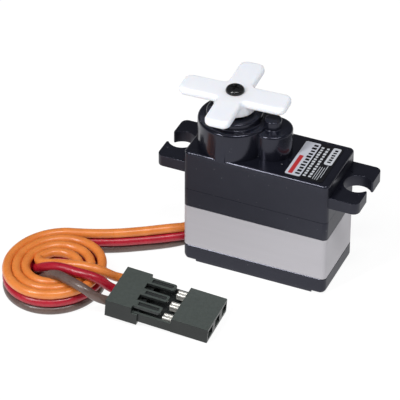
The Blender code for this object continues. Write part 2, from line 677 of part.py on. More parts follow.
def make_motor_can():
    """Deep-drawn can with a bearing boss, open at its lower end."""
    inner, wall = CAN_RADIUS - 0.3 * MM, CAN_TOP - 0.4 * MM
    profile = [(inner, CAN_BOTTOM), (CAN_RADIUS, CAN_BOTTOM), (CAN_RADIUS, CAN_TOP), (1.4 * MM, CAN_TOP)]
    profile += [(1.4 * MM, 11.3 * MM), (0.45 * MM, 11.3 * MM), (0.45 * MM, wall), (inner, wall)]
    can = add_object("motor_can", turned(profile, 32), steel(), (MOTOR_X, 0, 0))
    for number, side in enumerate((-1, 1), 1):
        place = (MOTOR_X, side * 2.5 * MM, 0)
        hole = cylinder(0.4 * MM, 9 * MM, 12 * MM, steps=14)
        cut(can, add_object(f"can_screw_hole_{number}", hole, steel(), place))


def make_motor_screws():
    profile = [(0, 10.3 * MM), (0.35 * MM, 10.3 * MM), (0.35 * MM, BASE_TOP + 0.02 * MM)]
    head = BASE_TOP + 0.25 * MM
    profile += [(0.6 * MM, BASE_TOP + 0.02 * MM), (0.6 * MM, head), (0, head)]
    for number, side in enumerate((-1, 1), 1):
        add_object(f"motor_screw_{number}", turned(profile, 12), steel(), (MOTOR_X, side * 2.5 * MM, 0))


def make_magnets():
    finish = material("magnet", (0.12, 0.12, 0.12), 0.5, 0.6)
    for number, start in enumerate((30, 210), 1):
        outline = arc((0, 0), 3.65 * MM, start, start + 120, 10)
        outline += arc((0, 0), 3.2 * MM, start + 120, start, 10)
        add_object(f"motor_magnet_{number}", prism(outline, 5.3 * MM, 9.6 * MM), finish, (MOTOR_X, 0, 0))


def make_rotor():
    """Three-pole armature and commutator on the motor shaft."""
    place = (MOTOR_X, 0, 0)
    outline = []
    for pole in range(3):
        outline += arc((0, 0), ARMATURE_RADIUS, 120 * pole - 50, 120 * pole + 50, 8)
        outline += arc((0, 0), 0.8 * ARMATURE_RADIUS, 120 * pole + 52, 120 * pole + 68, 2)
    armature = add_object("motor_armature", prism(outline, 5.8 * MM, 9.4 * MM), steel(), place)
    bore = cylinder(MOTOR_SHAFT_RADIUS + 0.02 * MM, 3 * MM, 20 * MM, steps=16)
    cut(armature, add_object("armature_bore", bore, steel(), place))
    commutator = ring_profile(MOTOR_SHAFT_RADIUS + 0.02 * MM, 1.1 * MM, 4.9 * MM, 5.7 * MM)
    copper = material("copper", (0.7, 0.35, 0.2), 0.35, 1.0)
    add_object("motor_commutator", turned(commutator, 16), copper, place)
    shaft = cylinder(MOTOR_SHAFT_RADIUS, 4.2 * MM, 13.4 * MM, steps=16)
    add_object("motor_shaft", shaft, steel(), place)


def make_motor_end_cap():
    profile = [(0, 3.6 * MM), (3.4 * MM, 3.6 * MM), (3.65 * MM, 3.85 * MM)]
    profile += [(3.65 * MM, 4.8 * MM), (0.45 * MM, 4.8 * MM)]
    profile += [(0.45 * MM, 4.1 * MM), (0, 4.1 * MM)]
    white = material("end_cap_nylon", (0.75, 0.74, 0.7), 0.5)
    cap = add_object("motor_end_cap", turned(profile, 32), white, (MOTOR_X, 0, 0))
    for number, side in enumerate((-1, 1), 1):
        y = side * 2.4 * MM
        slot = box((-0.55 * MM, y - 0.2 * MM, 3 * MM), (0.55 * MM, y + 0.2 * MM, 4.3 * MM))
        cut(cap, add_object(f"terminal_slot_{number}", slot, steel(), (MOTOR_X, 0, 0)))
        low = (-0.5 * MM, side * 2.4 * MM - 0.15 * MM, 2.45 * MM)
        high = (0.5 * MM, side * 2.4 * MM + 0.15 * MM, 4.2 * MM)
        add_object(f"motor_terminal_{number}", box(low, high), brass(), (MOTOR_X, 0, 0))


# Potentiometer and board


def make_potentiometer():
    """Angle sensor under the deck: its shaft turns with the output shaft."""
    place = (OUTPUT_X, 0, 0)
    inner, top = POT_RADIUS - 0.35 * MM, DECK_BOTTOM - 0.08 * MM
    profile = [(inner, POT_BOTTOM), (POT_RADIUS, POT_BOTTOM), (POT_RADIUS, top), (0.65 * MM, top)]
    profile += [(0.65 * MM, top - 0.6 * MM), (inner, top - 0.6 * MM)]
    add_object("potentiometer_housing", turned(profile, 32), steel(), place)
    tan = material("track_board", (0.3, 0.18, 0.08), 0.6)
    disc = cylinder(inner - 0.05 * MM, 7.7 * MM, 8.1 * MM, steps=32)
    track = add_object("potentiometer_track", disc, tan, place)
    for number, y in enumerate((-1.5 * MM, 0, 1.5 * MM), 1):
        pin = box((-2.0 * MM, y - 0.15 * MM, BOARD_TOP + 0.1 * MM), (-1.7 * MM, y + 0.15 * MM, 7.9 * MM))
        join(track, add_object(f"track_pin_{number}", pin, steel(), place))
    hub = cylinder(1.2 * MM, 8.5 * MM, 8.8 * MM, steps=20)
    wiper = add_object("potentiometer_wiper", hub, brass(), place)
    arm = box((0.3 * MM, -0.3 * MM, 8.5 * MM), (2.5 * MM, 0.3 * MM, 8.8 * MM))
    arm = add_object("wiper_arm", arm, steel(), place)
    join(wiper, arm)
    bore = cylinder(POT_SHAFT_RADIUS + 0.02 * MM, 8 * MM, 9 * MM)
    cut(wiper, add_object("wiper_bore", bore, steel(), place))
    add_object("potentiometer_shaft", cylinder(POT_SHAFT_RADIUS, 8.2 * MM, 12.8 * MM), steel(), place)


def make_board():
    """Circuit board over the bottom cover's floor, with its parts on both faces."""
    green = material("circuit_board", (0.02, 0.16, 0.07), 0.5)
    chip = material("chip", (0.03, 0.03, 0.03), 0.5)
    outline = rounded_rectangle(7.0 * MM, 3.9 * MM, 0.3 * MM)
    add_object("control_board", prism(outline, BOARD_BOTTOM, BOARD_TOP), green, (0.4 * MM, 0, 0))
    under, over = BOARD_BOTTOM - 0.03 * MM, BOARD_TOP + 0.03 * MM
    chips = (("controller_chip", -5.2 * MM, -1.2 * MM), ("motor_driver_chip", 0.6 * MM, 4.4 * MM))
    for name, start, end in chips:
        add_object(name, box((start, -2 * MM, under - 0.7 * MM), (end, 2 * MM, under)), chip)
    ceramic = material("resonator", (0.75, 0.6, 0.2), 0.4)
    block = box((-1.9 * MM, -3.3 * MM, over), (0.1 * MM, -2.3 * MM, over + 0.8 * MM))
    add_object("resonator", block, ceramic)
    tantalum = material("capacitor", (0.8, 0.5, 0.1), 0.4)
    block = box((-1.9 * MM, 2.2 * MM, over), (0.1 * MM, 3.4 * MM, over + 1.0 * MM))
    add_object("board_capacitor", block, tantalum)


# Lead, coil, tails and plug


def in_metres(points):
    return [(x * MM, y * MM, z * MM) for x, y, z in points]


def coil_point(turn, offset):
    """A point on the spiral after so many turns, the offset outwards from the wires' middle."""
    angle = 2 * math.pi * turn
    x = (COIL_SEMI[0] - COIL_STEP[0] * turn + offset) * math.cos(angle)
    y = (COIL_SEMI[1] - COIL_STEP[1] * turn + offset) * math.sin(angle)
    cos, sin = math.cos(COIL_TILT), math.sin(COIL_TILT)
    centre_x = COIL_CENTRE[0] + COIL_DRIFT[0] * turn
    centre_y = COIL_CENTRE[1] + COIL_DRIFT[1] * turn
    return (centre_x + x * cos - y * sin, centre_y + x * sin + y * cos)


def make_cable_coil(finish):
    """All the turns as one ring, open in the middle. The scene draws each turn."""
    outer = [coil_point(0.36 + i / 30, TUBE_RADIUS) for i in range(31)]
    inner = [coil_point(2.57 + i / 24, -TUBE_RADIUS) for i in range(24)]
    coil = add_object("cable_coil", prism(outer, 0.03 * MM, COIL_HEIGHT), finish)
    cut(coil, add_object("coil_middle", prism(inner, -1 * MM, COIL_HEIGHT + 1 * MM), steel()))


def make_cable():
    orange = material("orange_insulation", (0.85, 0.28, 0.04), 0.4)
    red = material("red_insulation", (0.45, 0.01, 0.03), 0.4)
    brown = material("brown_insulation", (0.1, 0.06, 0.05), 0.4)
    make_cable_coil(orange)
    wires = (("signal", LEAD_SIGNAL, TAIL_SIGNAL, orange), ("power", LEAD_POWER, TAIL_POWER, red))
    wires += (("ground", LEAD_GROUND, TAIL_GROUND, brown),)
    for name, lead, tail, finish in wires:
        tube(f"lead_{name}", in_metres(lead), finish, TUBE_RADIUS)
        tube(f"tail_{name}", in_metres(tail), finish, TUBE_RADIUS)


def in_plug_frame(made):
    made.location = PLUG_PLACE
    made.rotation_euler = (0, PLUG_PITCH, PLUG_YAW)
    return made


def plug_box(name, u, v, w):
    """A box in the plug's own frame, from its low and high ends along u, v and w."""
    return in_plug_frame(add_object(name, box((u[0], v[0], w[0]), (u[1], v[1], w[1])), steel()))


def make_plug():
    """Three-way plug: thick rear block, latch fingers over an open well, and a block with three sockets."""
    half, rear, front = PLUG_HALF_WIDTH, PLUG_REAR_LENGTH, PLUG_FRONT_START
    black = material("plug_plastic", (0.03, 0.035, 0.035), 0.5)
    body = box((0, -PLUG_REAR_HALF_WIDTH, -PLUG_REAR_DEPTH), (rear, PLUG_REAR_HALF_WIDTH, 0))
    housing = in_plug_frame(add_object("plug_housing", body, black))
    inside = 0.3 * MM
    floor = -1.5 * MM
    shelf = plug_box(
        "plug_shelf",
        (rear - inside, PLUG_SHELF_END),
        (-PLUG_REAR_HALF_WIDTH + 0.05 * MM, PLUG_REAR_HALF_WIDTH - 0.05 * MM),
        (-PLUG_REAR_DEPTH + 0.02 * MM, -0.9 * MM),
    )
    well = plug_box("plug_floor", (rear - inside, front + inside), (-half, half), (-PLUG_DEPTH, floor))
    across, down = (-half - 0.1 * MM, half + 0.05 * MM), (-PLUG_DEPTH - 0.01 * MM, -0.01 * MM)
    block = plug_box("plug_front", (front, PLUG_LENGTH), across, down)
    fingers = [
        plug_box(
            f"plug_finger_{i}",
            (rear - inside, 7.4 * MM),
            (i * PIN_PITCH - 0.65 * MM, i * PIN_PITCH + 0.65 * MM),
            (-0.8 * MM, -0.02 * MM),
        )
        for i in (-1, 0, 1)
    ]
    join(housing, shelf, well, block, *fingers)
    sockets = [
        plug_box(
            f"plug_socket_{i}",
            (front - inside, PLUG_LENGTH + 1 * MM),
            (i * PIN_PITCH - 0.8 * MM, i * PIN_PITCH + 0.8 * MM),
            (-1.75 * MM, -0.45 * MM),
        )
        for i in (-1, 0, 1)
    ]
    cut(housing, *sockets)
    gold = material("gold_plate", (0.85, 0.7, 0.35), 0.25, 1.0)
    for number, i in enumerate((-1, 0, 1), 1):
        low = (7.6 * MM, i * PIN_PITCH - 0.55 * MM, floor + 0.05 * MM)
        high = (13.2 * MM, i * PIN_PITCH + 0.55 * MM, -0.55 * MM)
        contact = in_plug_frame(add_object(f"plug_contact_{number}", box(low, high), gold))
        slot = (i * PIN_PITCH - 0.33 * MM, i * PIN_PITCH + 0.33 * MM)
        cut(contact, plug_box(f"contact_slot_{number}", (8.2 * MM, 14 * MM), slot, (-1.3 * MM, 0)))


def main():
    clear_scene()
    make_upper_case()
    make_gear_base()
    make_heat_sink_case()
    make_bottom_cover()
    make_case_screws()
    make_label()
    make_cable_grommet()
    make_output_shaft()
    make_bearing()
    make_lower_bush()
    make_horn()
    make_horn_screw()
    make_gears()
    make_idler_shaft()
    make_motor_can()
    make_motor_screws()
    make_magnets()
    make_rotor()
    make_motor_end_cap()
    make_potentiometer()
    make_board()
    make_cable()
    make_plug()


main()
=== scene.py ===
"""The look of the servo motor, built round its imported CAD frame.

Frame: +X along the case, +Y to the back, +Z up, the origin under the middle of the case. Metres.
"""

import math

import bmesh
import bpy
from mathutils import Matrix, Vector


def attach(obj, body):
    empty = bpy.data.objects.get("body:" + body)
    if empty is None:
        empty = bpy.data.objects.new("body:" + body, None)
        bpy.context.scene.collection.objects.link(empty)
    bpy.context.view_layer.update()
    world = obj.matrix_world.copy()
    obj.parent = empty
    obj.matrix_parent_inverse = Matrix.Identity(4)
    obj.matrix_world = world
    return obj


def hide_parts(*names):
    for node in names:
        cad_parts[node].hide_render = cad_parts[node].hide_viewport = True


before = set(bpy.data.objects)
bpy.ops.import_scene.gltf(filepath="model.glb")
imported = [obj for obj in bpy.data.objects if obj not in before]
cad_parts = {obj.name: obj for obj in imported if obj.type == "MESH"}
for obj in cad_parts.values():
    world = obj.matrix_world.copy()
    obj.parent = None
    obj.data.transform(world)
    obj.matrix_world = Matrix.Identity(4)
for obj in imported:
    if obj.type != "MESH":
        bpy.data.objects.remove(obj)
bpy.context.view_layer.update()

MM = 0.001

# Camera: degrees, then mm for the lens, the film and the place across, up and back from its aim
CAMERA_AZIMUTH = 23.26
CAMERA_ELEVATION = 36.352
CAMERA_ROLL = -0.257
CAMERA_LENS = 270
CAMERA_FILM = 36
CAMERA_ACROSS = -9.014
CAMERA_UP = 7.577
CAMERA_BACK = 403.2

# Lights: name, place, width and height, and power in watts
LIGHT_TARGET = Vector((0, 0, 0.01))
LIGHTS = (
    ("front_strip", (-0.12, -0.23, 0.28), (0.04, 0.2), 0.84),
    ("overhead_strip", (0.12, -0.13, 0.35), (0.2, 0.03), 0.68),
    ("side_strip", (0.26, 0.1, 0.2), (0.06, 0.12), 0.03),
    ("overhead_soft", (-0.05, 0.03, 0.4), (0.25, 0.2), 0.03),
)
WORLD_COLOUR = (0.93, 0.95, 1.0, 1.0)
WORLD_STRENGTH = 0.13

# Case, as in the CAD
HALF_LENGTH = 10.2 * MM
HALF_WIDTH = 4.9 * MM
COVER_TOP = 2.5 * MM
BAND_TOP = 8.9 * MM
BASE_TOP = 11.7 * MM
CASE_TOP = 17.6 * MM
CORNER_RADIUS = 0.7 * MM
WALL = 0.65 * MM
SEAM_GAP = 0.04 * MM
CORNER_FILL = 2.4 * MM
DECK_BOTTOM = 10.7 * MM
COVER_FLOOR = 0.6 * MM
COVER_END_RADIUS = 0.85 * MM
SCREW_X = 9.2 * MM
SCREW_Y = 3.95 * MM
SCREW_HOLE_RADIUS = 0.53 * MM
RECESS_RADIUS = 0.8 * MM
RECESS_TOP = 0.95 * MM
CORNER_STEP_RADIUS = 1.25 * MM
CORNER_STEP_TOP = 0.35 * MM
OUTPUT_X = -4.95 * MM
IDLER_X = 0.45 * MM
MOTOR_X = 4.575 * MM
LUG_BOTTOM = 14.05 * MM
LUG_TOP = 15.7 * MM
LUG_REACH = 14.2 * MM
LUG_HOLE_X = 12.45 * MM
LUG_HOLE_RADIUS = 1.85 * MM
TOWER_RADIUS = 4.88 * MM
TOWER_TOP = 21.75 * MM
COLLAR_RADIUS = 3.75 * MM
COLLAR_TOP = 22.7 * MM
IDLER_RADIUS = 2.66 * MM
IDLER_TOP = 21.4 * MM
BUTTON_RADIUS = 1.16 * MM
BUTTON_TOP = 22.7 * MM

# Horn, as in the CAD, and the angle in degrees at which it sits on its spline
HORN_REACH = 7.4 * MM
HORN_BOTTOM = 24.35 * MM
HORN_TOP = 25.5 * MM
HUB_RADIUS = 2.78 * MM
HUB_BOTTOM = 23.1 * MM
BORE_RADIUS = 2.02 * MM
HORN_TURN = 2.7

# Lead, coil and tails, as in the CAD. Coil sizes and wire heights are in mm
WIRE_DIAMETER = 1.26 * MM
GRIP_Y = -1.45 * MM
SIGNAL_HEIGHT = 3.15
POWER_HEIGHT = 1.89
GROUND_HEIGHT = 0.63
ROUTE_SPACING = 0.45
COIL_CENTRE = (-23.12, -16.54)
COIL_SEMI = (7.14, 7.94)
COIL_STEP = (1.26, 1.48)
COIL_DRIFT = (-0.083, -0.132)
COIL_TILT = -0.332
COIL_START = 0.36
COIL_END = 3.44
COIL_STEPS_PER_TURN = 24

# Routes of the three wires, in mm: from the grommet to the coil, and from the coil to the plug
LEAD_SIGNAL = [(-10.3, -1.5, 3.29), (-10.7, -1.8, 3.2), (-11.28, -2.2, 3.05), (-12.6, -3.15, 3.12)]
LEAD_SIGNAL += [(-13.97, -4.12, 3.15), (-15.95, -5.44, 3.15), (-18.3, -6.87, 3.15), (-20.38, -7.92, 3.15)]
LEAD_SIGNAL += [(-22.2, -8.7, 3.15), (-23.9, -9.3, 3.15)]
LEAD_POWER = [(-10.3, -1.55, 2.17), (-10.7, -2.1, 2.1), (-11.28, -2.65, 1.95), (-12.6, -3.5, 1.9)]
LEAD_POWER += [(-13.85, -4.38, 1.89), (-15.85, -5.6, 1.89), (-18.2, -7.02, 1.89), (-20.3, -8.03, 1.89)]
LEAD_POWER += [(-22.15, -8.75, 1.89), (-23.9, -9.3, 1.89)]
LEAD_GROUND = [(-10.3, -1.5, 1.06), (-10.7, -1.8, 0.95), (-11.28, -2.2, 0.8), (-12.6, -3.15, 0.66)]
LEAD_GROUND += [(-13.97, -4.12, 0.63), (-15.95, -5.44, 0.63), (-18.3, -6.87, 0.63), (-20.38, -7.92, 0.63)]
LEAD_GROUND += [(-22.2, -8.7, 0.63), (-23.9, -9.3, 0.63)]
TAIL_SIGNAL = [(-26.05, -16.1, 3.15), (-25.75, -16.85, 3.2), (-25.1, -17.25, 3.35), (-24.2, -17.35, 3.6)]
TAIL_SIGNAL += [(-22.2, -17.4, 4.15), (-20.4, -17.3, 4.5), (-18.9, -17.1, 4.55), (-17.4, -16.95, 4.45)]
TAIL_SIGNAL += [(-16.3, -16.3, 3.75), (-15.45, -15.4, 2.75), (-14.7, -14.85, 2.3), (-13.9, -14.75, 2.18)]
TAIL_POWER = [(-26.1, -16.2, 1.9), (-25.95, -17.1, 2.15), (-25.35, -17.9, 2.8), (-24.2, -18.35, 3.7)]
TAIL_POWER += [(-22.6, -18.55, 4.4), (-21.0, -18.62, 4.6), (-19.3, -18.72, 4.6), (-17.5, -18.6, 4.5)]
TAIL_POWER += [(-16.25, -18.2, 3.9), (-15.4, -17.7, 2.9), (-14.7, -17.35, 2.32), (-13.9, -17.28, 2.18)]
TAIL_GROUND = [(-26.05, -16.2, 0.66), (-25.8, -17.3, 0.8), (-25.0, -18.4, 1.4), (-23.9, -19.2, 2.6)]
TAIL_GROUND += [(-22.7, -19.7, 3.8), (-21.3, -20.15, 4.5), (-19.6, -20.7, 4.6), (-18.1, -21.15, 4.6)]
TAIL_GROUND += [(-16.8, -21.35, 4.3), (-15.85, -21.05, 3.5), (-15.1, -20.4, 2.7), (-14.5, -19.95, 2.3)]
TAIL_GROUND += [(-13.8, -19.82, 2.18)]

# Plug, in its own frame: u along it from the wires' end, v across, w up from its top face
PLUG_PLACE = Vector((-14.24 * MM, -17.3 * MM, 3.36 * MM))
PLUG_YAW = math.radians(2.24)
PLUG_PITCH = math.radians(4.5)
PIN_PITCH = 2.54  # in mm

# Angle in degrees up to which an edge is shaded smooth
SMOOTH_ANGLE = 32


# Camera, light and floor


def add_camera():
    """A long lens, 23 degrees round from the front and 36 above."""
    angles = (CAMERA_AZIMUTH, CAMERA_ELEVATION, CAMERA_ROLL)
    azimuth, elevation, roll = (math.radians(a) for a in angles)
    sin_a, cos_a = math.sin(azimuth), math.cos(azimuth)
    sin_e, cos_e = math.sin(elevation), math.cos(elevation)
    right = Vector((cos_a, sin_a, 0))
    up = Vector((-sin_a * sin_e, cos_a * sin_e, cos_e))
    forward = Vector((-sin_a * cos_e, cos_a * cos_e, -sin_e))
    right, up = right * math.cos(roll) - up * math.sin(roll), right * math.sin(roll) + up * math.cos(roll)
    place = right * CAMERA_ACROSS * MM + up * CAMERA_UP * MM - forward * CAMERA_BACK * MM
    data = bpy.data.cameras.new("camera")
    data.lens = CAMERA_LENS
    data.sensor_width = CAMERA_FILM
    data.clip_start = 0.01
    camera = bpy.data.objects.new("camera", data)
    camera.matrix_world = Matrix.Translation(place) @ Matrix((right, up, -forward)).transposed().to_4x4()
    bpy.context.scene.collection.objects.link(camera)
    bpy.context.scene.camera = camera


def add_area_light(name, place, size, power):
    data = bpy.data.lights.new(name, "AREA")
    data.shape = "RECTANGLE"
    data.size, data.size_y = size
    data.energy = power
    light = bpy.data.objects.new(name, data)
    light.location = place
    light.rotation_euler = (LIGHT_TARGET - Vector(place)).to_track_quat("-Z", "Y").to_euler()
    bpy.context.scene.collection.objects.link(light)


def add_light_and_floor():
    bpy.context.scene.view_settings.view_transform = "Standard"
    world = bpy.data.worlds.new("studio")
    world.use_nodes = True
    background = world.node_tree.nodes["Background"]
    background.inputs["Color"].default_value = WORLD_COLOUR
    background.inputs["Strength"].default_value = WORLD_STRENGTH
    bpy.context.scene.world = world
    for light in LIGHTS:
        add_area_light(*light)
    floor_mesh = bmesh.new()
    bmesh.ops.create_grid(floor_mesh, x_segments=1, y_segments=1, size=1.5)
    floor = object_from("floor", floor_mesh, floor_material())
    floor.location.z = -0.01 * MM


# Materials


def new_material(name):
    """An empty node material and its Principled shader."""
    made = bpy.data.materials.new(name)
    made.use_nodes = True
    return made, made.node_tree, made.node_tree.nodes["Principled BSDF"]


def floor_material():
    """Paper that is mostly lit by itself, so it stays even and white."""
    made, _, shader = new_material("white_paper")
    shader.inputs["Base Color"].default_value = (0.14, 0.14, 0.14, 1)
    shader.inputs["Roughness"].default_value = 0.9
    shader.inputs["Emission Color"].default_value = (1, 1, 1, 1)
    shader.inputs["Emission Strength"].default_value = 0.9
    return made


def noise(tree, scale, detail=3.0, stretch=(1, 1, 1)):
    """A noise texture in the object's own metres; scale is in features per mm."""
    coordinates = tree.nodes.new("ShaderNodeTexCoord")
    mapping = tree.nodes.new("ShaderNodeMapping")
    mapping.inputs["Scale"].default_value = [s * scale / MM for s in stretch]
    tree.links.new(coordinates.outputs["Object"], mapping.inputs["Vector"])
    made = tree.nodes.new("ShaderNodeTexNoise")
    made.inputs["Scale"].default_value = 1.0
    made.inputs["Detail"].default_value = detail
    tree.links.new(mapping.outputs["Vector"], made.inputs["Vector"])
    return made.outputs["Fac"]


def mapped(tree, value, low, high, from_low=0.3, from_high=0.7):
    """The value spread between low and high."""
    made = tree.nodes.new("ShaderNodeMapRange")
    limits = {"From Min": from_low, "From Max": from_high, "To Min": low, "To Max": high}
    for socket, number in limits.items():
        made.inputs[socket].default_value = number
    tree.links.new(value, made.inputs["Value"])
    return made.outputs["Result"]


def mixed_colour(tree, share, first, second):
    """A colour between the two, by the share."""
    made = tree.nodes.new("ShaderNodeMix")
    made.data_type = "RGBA"
    made.inputs["A"].default_value = (*first, 1)
    made.inputs["B"].default_value = (*second, 1)
    tree.links.new(share, made.inputs["Factor"])
    return made.outputs["Result"]


def blend_base_colour(tree, shader, share, colour):
    """Blends the shader's base colour so far to this one, by the share."""
    made = tree.nodes.new("ShaderNodeMix")
    made.data_type = "RGBA"
    made.inputs["B"].default_value = (*colour, 1)
    tree.links.new(shader.inputs["Base Color"].links[0].from_socket, made.inputs["A"])
    tree.links.new(share, made.inputs["Factor"])
    tree.links.new(made.outputs["Result"], shader.inputs["Base Color"])


def bump(tree, shader, height, depth):
    """Adds relief of that depth, in metres."""
    made = tree.nodes.new("ShaderNodeBump")
    made.inputs["Distance"].default_value = depth
    made.inputs["Strength"].default_value = 1.0
    tree.links.new(height, made.inputs["Height"])
    tree.links.new(made.outputs["Normal"], shader.inputs["Normal"])


def surface(
    name, colours, roughness, metallic=0.0, ior=1.45, patch=0.4, grain=6.0, depth=0.004, stretch=(1, 1, 1)
):
    """A finish that varies: two close colours in patches, roughness between two limits, and a fine grain.
    Patch and grain are in features per mm, depth in mm."""
    made, tree, shader = new_material(name)
    patches = noise(tree, patch, 4.0, stretch)
    fine = noise(tree, grain, 3.0, stretch)
    tree.links.new(mixed_colour(tree, mapped(tree, patches, 0, 1), *colours), shader.inputs["Base Color"])
    tree.links.new(mapped(tree, fine, *roughness), shader.inputs["Roughness"])
    shader.inputs["Metallic"].default_value = metallic
    shader.inputs["IOR"].default_value = ior
    bump(tree, shader, fine, depth * MM)
    return made


def calculated(tree, operation, *values):
    """A math node over the given sockets and numbers."""
    made = tree.nodes.new("ShaderNodeMath")
    made.operation = operation
    for socket, value in zip(made.inputs, values):
        if isinstance(value, float):
            socket.default_value = value
        else:
            tree.links.new(value, socket)
    return made.outputs["Value"]


def height_part(tree, vector):
    """The Z part of a vector socket."""
    made = tree.nodes.new("ShaderNodeSeparateXYZ")
    tree.links.new(vector, made.inputs["Vector"])
    return made.outputs["Z"]


def roughen_flanks(tree, shader, amount):
    """Makes the upright sides below the roof rougher; the towers and every top stay polished."""
    coordinates = tree.nodes.new("ShaderNodeTexCoord")
    below_roof = mapped(tree, height_part(tree, coordinates.outputs["Object"]), 1, 0, 16.2 * MM, 17.5 * MM)
    steepness = calculated(tree, "ABSOLUTE", height_part(tree, coordinates.outputs["Normal"]))
    share = calculated(tree, "MULTIPLY", below_roof, mapped(tree, steepness, 1, 0, 0.1, 0.6))
    polished = shader.inputs["Roughness"].links[0].from_socket
    tree.links.new(calculated(tree, "MULTIPLY_ADD", share, amount, polished), shader.inputs["Roughness"])


def painted_top_light(tree, shader, colour):
    """Blends the base colour to this one on the faces that look up, as painted light falling from above; a
    noise varies it a little.
    """
    coordinates = tree.nodes.new("ShaderNodeTexCoord")
    upward = mapped(tree, height_part(tree, coordinates.outputs["Normal"]), 0, 1, 0.6, 0.95)
    share = calculated(tree, "MULTIPLY", upward, mapped(tree, noise(tree, 2.6), 0.8, 1.0))
    blend_base_colour(tree, shader, share, colour)


def plug_plastic():
    """Dark grey-green moulding, its top painted lighter than its sides as painted light from above."""
    colours = ((0.009, 0.012, 0.011), (0.014, 0.017, 0.016))
    made = surface("plug_plastic", colours, (0.3, 0.42), grain=9.0, depth=0.006)
    # Painted light: the upward faces are painted lighter, as if lit from above
    painted_top_light(made.node_tree, made.node_tree.nodes["Principled BSDF"], (0.074, 0.087, 0.08))
    return made


def moulded_black():
    """Moulded plastic with a cold sheen, satin flanks, a faint ripple and a few specks of dust."""
    colours = ((0.0055, 0.006, 0.0105), (0.0085, 0.009, 0.0145))
    made = surface("moulded_black", colours, (0.16, 0.24), ior=1.5, depth=0.0012)
    tree = made.node_tree
    shader = tree.nodes["Principled BSDF"]
    shader.inputs["Specular Tint"].default_value = (0.8, 0.81, 1.0, 1)
    roughen_flanks(tree, shader, 0.26)
    dust = mapped(tree, noise(tree, 3.1, 1.0), 0, 1, 0.77, 0.82)
    blend_base_colour(tree, shader, dust, (0.2, 0.2, 0.21))
    return made


def satin_aluminium():
    """Bare band with fine brushing along the case."""
    colours = ((0.475, 0.463, 0.49), (0.508, 0.494, 0.524))
    brushing = {"patch": 0.8, "grain": 9.0, "depth": 0.001, "stretch": (0.06, 0.06, 1)}
    return surface("satin_aluminium", colours, (0.45, 0.55), 0.15, 1.25, **brushing)


def white_nylon():
    """Slightly translucent moulded nylon with a cold tint."""
    colours = ((0.87, 0.885, 0.965), (0.895, 0.91, 0.98))
    made = surface("white_nylon", colours, (0.42, 0.54), patch=0.25, grain=5.0, depth=0.002)
    shader = made.node_tree.nodes["Principled BSDF"]
    shader.inputs["Subsurface Weight"].default_value = 0.5
    shader.inputs["Subsurface Radius"].default_value = (0.7, 0.85, 1.0)
    shader.inputs["Subsurface Scale"].default_value = 0.8 * MM
    return made


def insulation(name, dark, light):
    """Soft PVC sheath: satin, a little translucent, with a fine even grain."""
    made = surface(name, (dark, light), (0.24, 0.4), ior=1.52, patch=0.5, grain=4.0, depth=0.012)
    shader = made.node_tree.nodes["Principled BSDF"]
    shader.inputs["Subsurface Weight"].default_value = 0.08
    shader.inputs["Subsurface Radius"].default_value = (1.0, 0.4, 0.2)
    shader.inputs["Subsurface Scale"].default_value = 0.4 * MM
    return made


